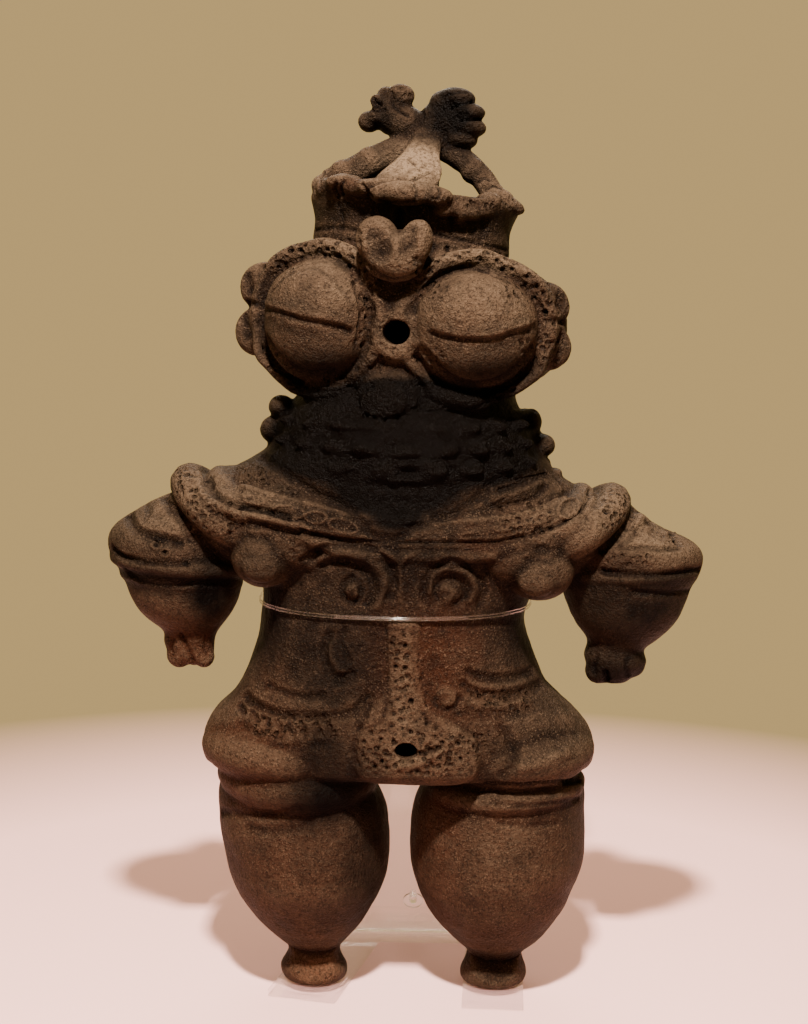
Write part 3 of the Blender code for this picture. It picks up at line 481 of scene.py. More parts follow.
def add_eye(clay, rolls, place, side):
    """One goggle eye: its dome, the backing behind it, the upper lid and three rim rolls."""
    wide, tall = side["half"]
    seat = place @ Matrix.Translation(side["spot"])
    seat = seat @ Matrix.Rotation(math.radians(side["turn"]), 4, "Z")
    balls(clay, (
        ((0, 2, 0), (wide, side["dome"], tall)),
        ((0, 9.4, 1.8), (wide + 6.4, 15.0, tall + 5.6)),
        ((0, 1.2, 3.6), (wide * 0.985, side["dome"] + 0.8, tall * 0.82)),
    ), seat)
    # Each rim roll: first and last step of 24 round the eye, how far out and back it lies, radius
    for first, last, offset, set_back, radius in (
        (0, 24, 4.3, 0.6, 2.1), (0, 24, 4.2, 3.4, 2.4), (-1, 14, 4.9, 1.2, 3.2),
    ):
        whole = last - first == 24
        rim = []
        for turn in range(first, last):
            angle = 2 * math.pi * turn / 24
            sway = 0.5 * math.sin(5 * angle + wide) + 0.4 * math.sin(9 * angle)
            sink = 0.0 if whole or first < turn < last - 1 else OPEN_RIM_SINK
            rim.append((
                (wide + offset + sway) * math.cos(angle), set_back + sink - 0.5 * sway,
                (tall + offset + sway) * math.sin(angle),
            ))
        roll(rolls, rim, radius, place=seat, closed=whole)


def add_head(clay, rolls):
    """The wide head, its goggle eyes with rims, nose ring, mouth disc, ears and brow heart."""
    place = head_place()
    # Sections from the back of the head to the face, each as wide and tall as seen from the front
    skull = [
        (-37, -24, 28, -15, 15), (-34, -42, 46, -23.5, 24.5), (-27, -53, 57, -27, 29),
        (-17, -58, 62, -28.4, 30.6), (-4, -59.5, 63.5, -28.6, 30.8), (8, -58.5, 63, -28.2, 30.4),
        (18, -55, 60, -27, 29.6), (27, -47, 51, -24.5, 27), (33, -30, 34, -18, 20),
    ]
    facing = place @ Matrix.Rotation(math.radians(90), 4, "X")
    loft(clay, skull, square=2.45, place=facing)
    for side in EYES.values():
        add_eye(clay, rolls, place, side)
    nose_ring = [(2.4 + 7.2 * math.cos(a), -35.2, -5.2 + 7.4 * math.sin(a)) for a in round_angles(12)]
    roll(rolls, nose_ring, 2.9, place=place, closed=True)
    balls(clay, (
        # Nose, mouth disc and chin lobes
        ((2.4, -31, -7), (10.5, 7.0, 12)), ((2, -26, 2), (11.8, 11.4, 23)), ((2, -27, 9), (13, 10, 15)),
        ((0.8, -33.6, -28.0), (12.4, 5.4, 10.8), (-10, 0, 0)),
        ((24, -28, -27), (15, 7, 5.2), (0, 6, 0)), ((-20, -27, -26), (13, 7, 5), (0, -6, 0)),
        # Brow heart: two lobes with a deep notch above, meeting in a rounded point
        ((-6.6, -39.6, 28.0), (8.2, 7.2, 9.4), (0, -14, 0)),
        ((7.2, -39.6, 27.8), (6.4, 7.2, 9.4), (0, 14, 0)),
        ((0.0, -39.6, 21.4), (11.4, 7.6, 7.8)), ((0.8, -40.5, 24.4), (4.6, 7.0, 7.0)),
        ((0.8, -32, 25), (11, 7, 8.4)),
        # Ears, two flat lobes on each side
        ((-55.5, -7, 9.6), (10, 5.2, 10)), ((-56.5, -7, -7.8), (10, 5.2, 10)),
        ((54.5, -7, 9.6), (10, 5.2, 10)), ((56.5, -7, -5.4), (10, 5.2, 9.4)),
    ), place)


def add_crown(clay, rolls):
    """The dished crown with its rim, the arms that rise from it and the knot they carry."""
    place = head_place()
    dish = [
        (22, -38, 38, -27, 29), (30, -38.6, 38.4, -28, 30), (37, -38.4, 38.2, -28, 30),
        (42, -39.4, 39.6, -29.5, 31), (46.5, -40.6, 41.4, -31, 32), (48, -38, 39, -28.5, 29.5),
        (46.5, -35, 36, -25.5, 27), (43, -32, 33, -22.5, 24), (41, -22, 23, -14, 16),
    ]
    ramp = [
        (46.5, -11.5, 11.5, -35, -30), (50, -12.2, 12.6, -33.5, -27), (56, -9, 13, -27.5, -19.5),
        (62, -5, 11, -20.5, -11), (68, -3, 10, -12, -2), (72, -4, 9, -7, 4),
    ]
    loft(clay, dish, square=2.2, steps=2, place=place)
    loft(clay, ramp, square=2.4, sides=32, place=place)
    for points, radius in (
        # The lumpy rim, from the left corner along the front to the right corner, then its back
        ([
            (-35, -8, 50.6), (-31, -18, 48.6), (-24.5, -24.5, 50.0), (-16, -29.5, 47.8),
            (-7, -32.5, 48.4), (2, -34, 46.6), (10, -32.5, 47.4), (16, -29, 45.2),
        ], 3.5),
        ([(12, -30, 41.6), (19, -28, 42.4), (26, -23, 42.0), (32, -15, 45), (38.6, -5, 46)], 3.3),
        ([(-36, 10, 50), (-24, 25, 50), (0, 31, 49.5), (24, 26, 49.5), (37, 10, 48.5)], 4.0),
        # Arms to both sides and the back strut
        ([(-34.6, -7, 50), (-30, -6.5, 52.4), (-22, -6, 57), (-12, -4, 63), (0, 0, 70)], 6.2),
        ([(36, -4, 46.5), (31, -4, 51.5), (25, -3, 58.5), (17, -1, 64.5), (5, 0, 70.5)], 4.7),
        ([(0, 30, 49.5), (1, 24, 57), (2, 14, 64), (2, 4, 71)], 5.2),
    ):
        roll(rolls, points, radius, place=place)
    balls(clay, (
        # Lumps of the rim and its right corner
        ((-34.8, -8, 50.0), (4.6, 6.6, 4.6)), ((-23, -25.5, 49.8), (7.6, 4.8, 3.3)),
        ((-11, -31.5, 48.2), (7.0, 4.8, 3.2)), ((1.5, -34.4, 46.4), (10.4, 5.2, 4.6)),
        ((12.4, -31.8, 46.2), (6.6, 5.4, 3.6)), ((34.0, -5, 49.6), (5.4, 6, 4.0)),
        ((30.5, -15, 47.0), (5.6, 6, 4.0)), ((21, -25.5, 42.4), (4, 4, 5.0)),
        ((26.5, -21, 43.0), (3.4, 4.2, 4.4)), ((-31, -16.5, 48.6), (5.0, 5.2, 3.8)),
        ((-8, -33.4, 46.2), (4.2, 4.8, 4.0)), ((38.0, -4, 47.6), (6.2, 6.5, 3.2), (0, 20, 0)),
        # Lumps of the arms
        ((-27, -8, 55.5), (6, 5.6, 5.4)), ((-17, -6, 60.6), (6.4, 6, 6.0)), ((22.5, -3, 60), (5.0, 5, 5.2)),
        # The knot: a neck, a knobbed lobe on the left and a fist-like one on the right
        ((2.4, 0, 71), (9.4, 8, 6.4)), ((-6.5, 0, 77), (8.2, 7.6, 7)), ((-11.5, 0, 80), (6.6, 7, 8)),
        ((-8.2, -1.5, 87), (5.6, 5, 4.6)), ((-14.4, 1, 86.8), (3.8, 4.4, 4)),
        ((-17.4, -3, 84.4), (2.7, 3, 2.7)), ((-20, -1, 76.6), (4.4, 4.4, 4.2)),
        ((-16, -2, 78.4), (5, 5, 3.4)), ((4.5, -1, 77.8), (5, 6, 7)), ((12, 1, 79), (9.6, 8, 9.4)),
        ((13.6, -1.5, 87), (7.6, 6.4, 4.4)), ((18.6, -2.5, 82), (6.8, 6.2, 3.5)),
        ((19.6, -2.5, 76.2), (6.6, 6.2, 3.5)), ((16.6, -1.5, 71.6), (6.4, 6, 3.6)),
        ((8.4, -1, 84.6), (5.6, 6, 5.4)),
    ), place)


def spiral(centre, inner, outer, turns, start, hand):
    """Places on a spiral from its outer end inwards."""
    points = []
    for step in range(24):
        share = step / 23
        reach = outer + (inner - outer) * share
        angle = start + hand * turns * 2 * math.pi * share
        points.append((centre[0] + reach * math.cos(angle), centre[1] + reach * math.sin(angle)))
    return points


# Node trees

def join(tree, kind, sockets=None, **settings):
    """Add a node, set what it has, and set or link its sockets by name or number."""
    node = tree.nodes.new(kind)
    for key, value in settings.items():
        setattr(node, key, value)
    for key, value in (sockets or {}).items():
        if isinstance(value, bpy.types.NodeSocket):
            tree.links.new(value, node.inputs[key])
        else:
            node.inputs[key].default_value = value
    return node


def sum_of(tree, operation, first, second=0.0, third=0.0):
    """One sum on numbers."""
    return join(tree, "ShaderNodeMath", {0: first, 1: second, 2: third}, operation=operation).outputs[0]


def vector_sum(tree, operation, first, second=(0, 0, 0), output="Vector", scale=None):
    """One sum on vectors."""
    node = join(tree, "ShaderNodeVectorMath", {0: first, 1: second}, operation=operation)
    if scale is not None:
        if isinstance(scale, bpy.types.NodeSocket):
            tree.links.new(scale, node.inputs["Scale"])
        else:
            node.inputs["Scale"].default_value = scale
    return node.outputs[output]


def spread(tree, value, low, high, to_low=0.0, to_high=1.0):
    """A value brought from one range to another, softly at both ends."""
    return join(tree, "ShaderNodeMapRange", {
        "Value": value, "From Min": low, "From Max": high, "To Min": to_low, "To Max": to_high,
    }, interpolation_type="SMOOTHSTEP").outputs[0]


def new_tree(name, inputs):
    """A geometry tree that takes and gives clay, with named inputs."""
    tree = bpy.data.node_groups.new(name, "GeometryNodeTree")
    tree.interface.new_socket("Clay", in_out="INPUT", socket_type="NodeSocketGeometry")
    for label, kind in inputs:
        tree.interface.new_socket(label, in_out="INPUT", socket_type="NodeSocket" + kind)
    tree.interface.new_socket("Finish", in_out="INPUT", socket_type="NodeSocketMaterial")
    tree.interface.new_socket("Clay", in_out="OUTPUT", socket_type="NodeSocketGeometry")
    return tree, tree.nodes.new("NodeGroupInput").outputs


def end_tree(tree, shape, finish):
    """Real shapes and the finish come last."""
    solid = join(tree, "GeometryNodeRealizeInstances", {0: shape}).outputs[0]
    painted = join(tree, "GeometryNodeSetMaterial", {"Geometry": solid, "Material": finish}).outputs[0]
    join(tree, "NodeGroupOutput", {0: painted})


def pressed_marks_tree():
    """Marks seen from one place, pressed into the clay or raised from it."""
    tree, given = new_tree("pressed_marks", (
        ("Marks", "Object"), ("Seen from", "Vector"), ("Spacing", "Float"), ("Jitter", "Float"),
        ("Size change", "Float"), ("Seed", "Int"),
    ))
    # Dots along the runs of marks, or one dot for each of their places where the spacing is nothing
    drawn = join(tree, "GeometryNodeObjectInfo", {"Object": given["Marks"]}).outputs["Geometry"]
    lines = join(tree, "GeometryNodeMeshToCurve", {0: drawn}).outputs[0]
    spacing = {"Curve": lines, "Length": given["Spacing"]}
    spaced = join(tree, "GeometryNodeResampleCurve", spacing, mode="LENGTH").outputs[0]
    along = join(tree, "GeometryNodeCurveToPoints", {"Curve": spaced}, mode="EVALUATED").outputs["Points"]
    single = join(tree, "GeometryNodeMeshToPoints", {"Mesh": drawn}, mode="VERTICES").outputs[0]
    over_nothing = {0: given["Spacing"], 1: 0.0}
    runs = join(tree, "FunctionNodeCompare", over_nothing, data_type="FLOAT", operation="GREATER_THAN")
    choice = {"Switch": runs.outputs[0], "False": single, "True": along}
    dots = join(tree, "GeometryNodeSwitch", choice, input_type="GEOMETRY").outputs[0]
    # The dots, shaken a little, are cast onto the clay from where they are seen
    place = join(tree, "GeometryNodeInputPosition").outputs[0]
    both_ways = {0: (-1, -1, -1), 1: (1, 1, 1), "Seed": given["Seed"]}
    shake = join(tree, "FunctionNodeRandomValue", both_ways, data_type="FLOAT_VECTOR").outputs[0]
    moved = vector_sum(tree, "ADD", place, vector_sum(tree, "SCALE", shake, scale=given["Jitter"]))
    heading = vector_sum(tree, "SUBTRACT", moved, given["Seen from"])
    hit = join(tree, "GeometryNodeRaycast", {
        "Target Geometry": given["Clay"], "Source Position": given["Seen from"], "Ray Direction": heading,
        "Ray Length": 10.0,
    }).outputs["Hit Position"]
    landed = join(tree, "GeometryNodeSetPosition", {"Geometry": dots, "Position": hit}).outputs[0]
    nearest = join(tree, "GeometryNodeSampleNearest", {"Geometry": landed}, domain="POINT").outputs[0]

    def of_nearest(value, kind):
        """What the nearest dot holds."""
        sample = {"Geometry": landed, "Value": value, "Index": nearest}
        return join(tree, "GeometryNodeSampleIndex", sample, data_type=kind).outputs[0]

    def marked(label):
        """A value kept on the marks' places."""
        return join(tree, "GeometryNodeInputNamedAttribute", {"Name": label}, data_type="FLOAT").outputs[0]

    # Each point of the clay goes in or out by how near it lies to a dot
    half_width = of_nearest(marked("half_width"), "FLOAT")
    depth = of_nearest(marked("depth"), "FLOAT")
    gap = vector_sum(tree, "DISTANCE", place, of_nearest(place, "FLOAT_VECTOR"), "Value")
    either_way = {2: -1.0, 3: 1.0, "ID": nearest, "Seed": given["Seed"]}
    change = join(tree, "FunctionNodeRandomValue", either_way, data_type="FLOAT").outputs[1]
    size = sum_of(tree, "MULTIPLY_ADD", change, given["Size change"], 1.0)
    reach = sum_of(tree, "MULTIPLY", half_width, size)
    near = sum_of(tree, "SUBTRACT", 1.0, sum_of(tree, "DIVIDE", gap, reach))
    soft = spread(tree, near, 0.0, 1.0, 0.0, depth)
    inward = sum_of(tree, "MULTIPLY", soft, sum_of(tree, "MULTIPLY", size, -1.0))
    facing = join(tree, "GeometryNodeInputNormal").outputs[0]
    press = vector_sum(tree, "SCALE", facing, scale=inward)
    carved = join(tree, "GeometryNodeSetPosition", {"Geometry": given["Clay"], "Offset": press}).outputs[0]
    end_tree(tree, carved, given["Finish"])
    return tree


def uneven_skin_tree():
    """The slightly uneven skin of clay worked by hand: wide soft waves and smaller dents."""
    layers = (("Wave", "Wave size"), ("Dent", "Dent size"))
    tree, given = new_tree("uneven_skin", [(label, "Float") for layer in layers for label in layer])
    place = join(tree, "GeometryNodeInputPosition").outputs[0]
    lifts = []
    for height, size in layers:
        fine = sum_of(tree, "DIVIDE", 1.0, given[size])
        cloud = {"Vector": place, "Scale": fine, "Detail": 1.5, "Roughness": 0.5}
        noise = join(tree, "ShaderNodeTexNoise", cloud).outputs[0]
        lifts.append(sum_of(tree, "MULTIPLY", sum_of(tree, "SUBTRACT", noise, 0.5), given[height]))
    facing = join(tree, "GeometryNodeInputNormal").outputs[0]
    lift = vector_sum(tree, "SCALE", facing, scale=sum_of(tree, "ADD", *lifts))
    worked = join(tree, "GeometryNodeSetPosition", {"Geometry": given["Clay"], "Offset": lift}).outputs[0]
    end_tree(tree, worked, given["Finish"])
    return tree


def run_tree(piece, tree, values):
    """Put a tree on a piece as a modifier and set its named inputs."""
    change = piece.modifiers.new(tree.name, "NODES")
    change.node_group = tree
    for item in tree.interface.items_tree:
        if item.in_out == "INPUT" and item.name in values:
            change[item.identifier] = values[item.name]


def settle(piece):
    """Turn what a piece's modifiers make into its plain mesh."""
    bpy.context.view_layer.update()
    graph = bpy.context.evaluated_depsgraph_get()
    shape = bpy.data.meshes.new_from_object(piece.evaluated_get(graph))
    piece.modifiers.clear()
    before = piece.data
    piece.data = shape
    if before.users == 0:
        bpy.data.meshes.remove(before)
    bpy.context.view_layer.update()


# Marks, as places in the camera's own frame

def seen(place):
    """A spot on the plane of marks, for a place in the picture counted from its upper left."""
    across, down = place
    ray = AHEAD + RIGHT * (across - PICTURE_WIDE / 2) / FOCAL + UP * (PICTURE_TALL / 2 - down) / FOCAL
    return EYE + ray * MARK_DISTANCE


def behind(place):
    """A spot behind the figure, for a place given across and up in shares."""
    return FIGURE_PLACE @ Vector((place[0], BACK_PLANE, place[1]))


def marks_object(name, marks, spot_of):
    """Keep runs of places as one wire, with each run's half width and depth in metres."""
    places, edges = [], []
    kept = {"half_width": [], "depth": []}
    for path, half_width, depth in marks:
        first = len(places)
        places += [tuple(spot_of(place)) for place in path]
        edges += [(index, index + 1) for index in range(first, len(places) - 1)]
        kept["half_width"] += [half_width * MM] * len(path)
        kept["depth"] += [depth * MM] * len(path)
    wire = bpy.data.meshes.new(name)
    wire.from_pydata(places, edges, [])
    for label, values in kept.items():
        wire.attributes.new(label, "FLOAT", "POINT").data.foreach_set("value", values)
    return linked(name, wire)


def line(places, half_width, depth, steps=5):
    """A smooth mark through a few places."""
    return [tuple(spot) for spot in smooth_path(places, steps)], half_width, depth


def ring(centre, half, half_width, depth, turn=0.0):
    """An oval mark round a centre."""
    lean = math.radians(turn)
    path = []
    for step in range(25):
        angle = 2 * math.pi * step / 24
        across, down = half[0] * math.cos(angle), half[1] * math.sin(angle)
        path.append((
            centre[0] + across * math.cos(lean) - down * math.sin(lean),
            centre[1] + across * math.sin(lean) + down * math.cos(lean),
        ))
    return path, half_width, depth


# Marks: runs of places in the camera's frame, then half width and depth in millimetres, where a depth
# below nought raises the clay

FACE_GROOVES = [
    # Shadowed hollows beside the domes of the eyes
    line([(270, 276), (263, 290), (261, 305)], 3.4, 1.0),
    line([(268, 340), (277, 353), (292, 366), (310, 373), (330, 372)], 3.6, 1.2),
    line([(354, 284), (360, 304), (361, 324), (356, 346)], 2.2, 0.8),
    line([(424, 352), (440, 369), (458, 380), (478, 384), (500, 379), (520, 364), (532, 348)], 3.4, 1.3),
    line([(424, 288), (440, 276), (458, 269), (476, 269), (500, 278)], 2.0, 0.8),
    # Slits of the lids
    line([
        (265, 309), (281, 313.5), (297, 319), (310, 322.5), (322, 324.5), (335, 327), (349, 331),
    ], 2.4, 0.78),
    line([(272, 319), (290, 325), (310, 329), (330, 333)], 4.4, 0.4),
    line([(431, 334), (443, 337.5), (458, 340), (475, 341), (495, 339.5), (514, 335), (530, 330)], 2.2, 0.82),
    line([(436, 341), (456, 346), (476, 347), (497, 345.5), (518, 340)], 4.6, 0.45),
    line([(508, 334), (522, 331), (535, 327)], 2.8, 0.6),
    # The upper lids' own edge
    line([
        (272, 291), (286, 277), (301, 270), (314, 268), (327, 275), (339, 287), (349, 301), (354, 314),
    ], 1.6, 0.5),
    # Mouth disc and chin
    ring((384, 400), (27, 20), 1.5, 0.7),
    line([(356, 389), (340, 384), (322, 386)], 1.3, 0.6),
    line([(412, 386), (440, 384), (470, 392)], 1.2, 0.7),
    line([(412, 409), (440, 412), (470, 410), (488, 402)], 1.3, 0.9),
    # Ears
    line([(238, 303), (247, 303), (257, 304)], 2.4, 1.6),
    line([(568, 322), (560, 322), (552, 320)], 2.4, 1.6),
    line([(247, 277), (249, 284), (250, 290)], 3.2, 1.4),
    line([(243, 318), (245, 326), (248, 334)], 3.4, 1.5),
    line([(561, 296), (560, 303), (558, 309)], 3.0, 1.3),
    line([(562, 333), (560, 340), (556, 346)], 3.0, 1.3),
    # Brow heart: cleft, and the edge where it lies on the brow
    line([(399, 214), (399, 220), (398, 227)], 3.0, 1.8),
    line([(359, 242), (361, 256), (372, 270), (391, 279), (410, 276), (426, 264), (433, 248)], 2.0, 0.9),
    line([(374, 238), (376, 244), (381, 251)], 5.8, 2.1),
    line([(411, 230), (411, 237), (410, 245)], 4.4, 1.9),
    # Foot of the crown
    line([(312, 231), (330, 228), (350, 229), (360, 233)], 1.4, 0.8),
    line([(432, 233), (460, 240), (490, 246), (514, 252)], 1.4, 0.8),
]

CROWN_GROOVES = [
    line([(391, 92), (393, 104), (400, 112), (408, 116)], 1.2, 1.3),
    line([(370, 109), (377, 110.5), (385, 110)], 1.0, 1.0),
    line([(450, 109), (460, 105), (473, 102)], 1.0, 1.5),
    line([(459, 121.5), (470, 120), (483, 119)], 1.0, 1.5),
    line([(446, 96), (456, 93), (466, 92)], 0.9, 0.8),
    line([(425, 92), (422, 104), (423, 118)], 1.5, 0.9),
    line([(408, 158), (414, 164), (420, 171)], 1.1, 0.7),
    line([(421, 160), (426, 166), (432, 171)], 1.0, 0.7),
    line([(428, 146), (432, 154), (435, 166)], 1.2, 0.5),
    line([(370, 186), (383, 181), (396, 180), (411, 180), (421, 175), (431, 171)], 1.5, 1.5),
    line([(373, 100), (375, 102), (378, 105)], 2.4, 1.7),
    line([(362, 184), (366, 191), (372, 197)], 1.4, 1.5),
    line([(336, 184), (335, 190), (338, 196)], 1.3, 1.4),
    line([(380, 201), (396, 203), (414, 202)], 1.6, 1.0),
    # Short nicks over the rim
    *[line(places, 1.1, depth) for depth, places in (
        (1.0, [(319, 190), (320, 180), (324, 172)]), (1.0, [(343, 194), (341, 187), (344, 181)]),
        (1.0, [(368, 196), (368, 189), (372, 183)]), (1.0, [(415, 199), (417, 190), (414, 184)]),
        (1.0, [(437, 200), (440, 192), (437, 185)]), (0.8, [(478, 182), (484, 179), (490, 181)]),
        (0.8, [(486, 190), (494, 186), (503, 190)]),
    )],
    # Soft upright dents of the wall
    line([(340, 206), (342, 218), (340, 228)], 3.0, 0.5),
    line([(455, 213), (452, 222), (454, 232)], 3.0, 0.6),
    line([(480, 215), (484, 226), (482, 238)], 3.0, 0.6),
]

BODY_GROOVES = [
    # The V of the collar over the chest
    line([
        (262, 457), (283, 472), (309, 490), (330, 500), (349, 509), (362, 524), (375, 537), (392, 541),
        (404, 536), (414, 527), (434, 520), (454, 515), (474, 502), (492, 486), (518, 479), (546, 474),
    ], 3.2, 1.36),
    # Left shoulder and chest
    line([(209, 480), (214, 492.5), (226, 501.5), (246, 508.5), (268, 512.5), (288, 517)], 2.2, 1.36),
    line([(211, 512), (226, 520), (240, 525), (252, 526), (268, 527.5), (283, 532.5), (298, 534)], 2.2, 1.1),
    line([
        (300, 531), (325, 537), (349, 541), (376, 542), (401, 543), (445, 543), (490, 543), (511, 540),
        (535, 534), (552, 528), (570, 519), (583, 509), (588.5, 498), (591, 489),
    ], 1.9, 1.44),
    line([(228, 540), (233, 534), (240, 528), (252, 524), (271, 528), (285, 535)], 2.2, 0.85),
    # Right shoulder and chest
    line([(499, 556), (511, 553.5), (528, 551), (545, 547.5)], 2.4, 0.5),
    line([(526, 560), (540, 562), (552, 561), (560, 556)], 2.4, 0.6),
    line([(500, 490), (518, 484.5), (538, 477), (548, 474)], 1.9, 0.94),
    line([(492, 507), (501, 507), (514, 504), (528, 500), (538, 495), (546, 486)], 2, 1.02),
    line([(558, 480), (566, 488), (560, 497), (548, 503)], 1.9, 0.68),
    # Shoulder lobes from the arms
    line([(164, 490), (166, 500), (173, 511), (180, 517), (186, 528), (190, 541)], 3.2, 1.5),
    line([(635, 508), (632, 520), (624, 532), (612, 543), (602, 551)], 3.2, 1.5),
    # Left arm
    line([(128, 514), (131, 523), (136, 530), (145, 535), (158, 538), (168, 540), (180, 543)], 3.4, 2.0),
    line([(146, 503), (149, 512), (145, 520)], 2.3, 0.59),
    line([(112, 548), (119, 554), (129, 559), (144, 562), (159, 563.5), (173, 564), (187, 563.5)], 2.2, 1.7),
    line([(123, 567), (136, 578), (148, 583), (161, 585.5), (177, 585.5), (190, 583)], 2.2, 0.94),
    # Right arm
    line([(602, 571), (621, 574), (643, 575), (666, 575), (684, 572.5), (700, 569)], 2.2, 1.78),
    line([(605, 547.5), (621, 547.5), (643, 547.5), (661, 549), (678, 547.5)], 2, 1.1),
    line([(620, 546), (634, 533), (646, 523), (657, 521), (669, 529), (678, 543)], 3.0, 1.5),
    line([(632, 592), (648, 593), (668, 594), (691, 590)], 2.2, 0.77),
    # Fingers
    line([(192, 661), (190, 654), (186, 645), (181, 635)], 1.9, 1.27),
    line([(172, 655), (171, 647), (173, 640)], 1.7, 0.77),
    line([(207, 655), (205, 647), (206, 640)], 1.7, 0.59),
    line([(606, 684), (606, 679), (605, 672)], 1.9, 2.4),
    line([(594, 672), (594, 665), (597, 658)], 1.7, 0.77),
    line([(628, 676), (626, 668), (627, 660)], 1.7, 0.77),
    # Left spiral of the chest
    line([
        (303, 560), (318, 550), (338, 545), (353, 545), (370, 549), (384, 558), (392, 571), (394, 584),
        (390, 597),
    ], 2.6, 1.2),
    line([(322, 566), (338, 561), (357, 566), (370, 577), (373, 591), (367, 605)], 2.4, 1.2),
    line([(352, 578), (344, 584), (343, 594), (350, 602), (359, 599), (361, 590)], 2.0, 1.1),
    # Right spiral of the chest
    line([
        (430, 606), (424, 592), (428, 577), (438, 566), (452, 561), (468, 566), (480, 577), (484, 592),
        (479, 607),
    ], 2.6, 1.2),
    line([(438, 600), (436, 589), (443, 580), (454, 578), (464, 585), (465, 597), (457, 604)], 2.2, 1.2),
    # Belly, left
    line([
        (245, 696.5), (258, 705.5), (275, 712.5), (295, 716), (314, 717.5), (335, 717), (351, 712),
        (360, 706), (368, 697),
    ], 3.2, 1.7),
    line([(268, 686), (280, 691), (292, 695), (306, 697), (322, 695)], 2.6, 1.1),
    line([(330, 634), (325, 644), (324, 654), (326, 667), (333, 677), (344, 677), (352, 673)], 2.5, 1.1),
    line([(345, 630), (340, 638), (344, 650), (350, 660)], 2.2, 0.77),
    line([(368, 700), (367, 710), (364, 722), (358, 731)], 2.2, 0.68),
    *[line([top, bottom], 2.4, depth) for top, bottom, depth in (
        ((240, 704), (244, 712), 1.2), ((251, 711), (256, 720), 1.2), ((263, 716), (268, 726), 1.2),
        ((276, 720), (281, 731), 1.2), ((289, 723), (293, 734), 1.2), ((302, 724), (305, 735), 1.1),
        ((315, 724), (317, 733), 1.0), ((328, 723), (329, 731), 0.9),
    )],
    line([(240, 722), (256, 735), (276, 744), (300, 746), (326, 742)], 3.0, 0.7),
    # Belly, right
    line([(468, 672), (481, 676), (498, 678), (514, 677), (530, 671)], 3.0, 1.2),
    line([(464, 685), (478, 693.5), (492, 696.5), (509, 696), (526, 692), (540, 684)], 3.2, 1.3),
    line([(458, 713), (471, 715), (487, 715), (501, 716.5), (515, 713.5), (530, 709)], 3.2, 0.9),
    line([(435, 698), (436, 704), (447, 709.5), (456, 706), (459, 698)], 1.9, 0.85),
    line([(502, 727), (510, 741), (515, 753), (511, 765), (503, 774)], 3.6, 1.2),
    line([(477, 736), (480, 742), (479, 749)], 1.6, 0.68),
    line([(417, 754.5), (428, 752), (442, 746.5)], 1.9, 1.27),
    # Edges of the band and the apron
    line([
        (386, 630), (386, 650), (387, 678), (386, 706), (380, 722), (362, 731), (355, 740), (355, 757),
        (362, 772),
    ], 1.7, 0.68),
    line([(414, 630), (413, 650), (415, 672), (417, 700), (424, 716), (438, 726)], 1.7, 0.51),
    # Hips and legs
    line([(488, 784), (503, 784.5), (521, 785), (539, 783.5), (560, 781.5), (580, 780)], 2.3, 1.7),
    line([(222, 812), (245, 814), (275, 813), (298, 808)], 3.0, 0.9),
    line([(250, 829), (270, 831), (292, 828), (310, 821)], 3.0, 0.6),
    line([(492, 803), (520, 806), (550, 804), (578, 799)], 1.9, 0.68),
    line([(498, 823), (524, 826), (556, 823)], 1.9, 0.51),
]

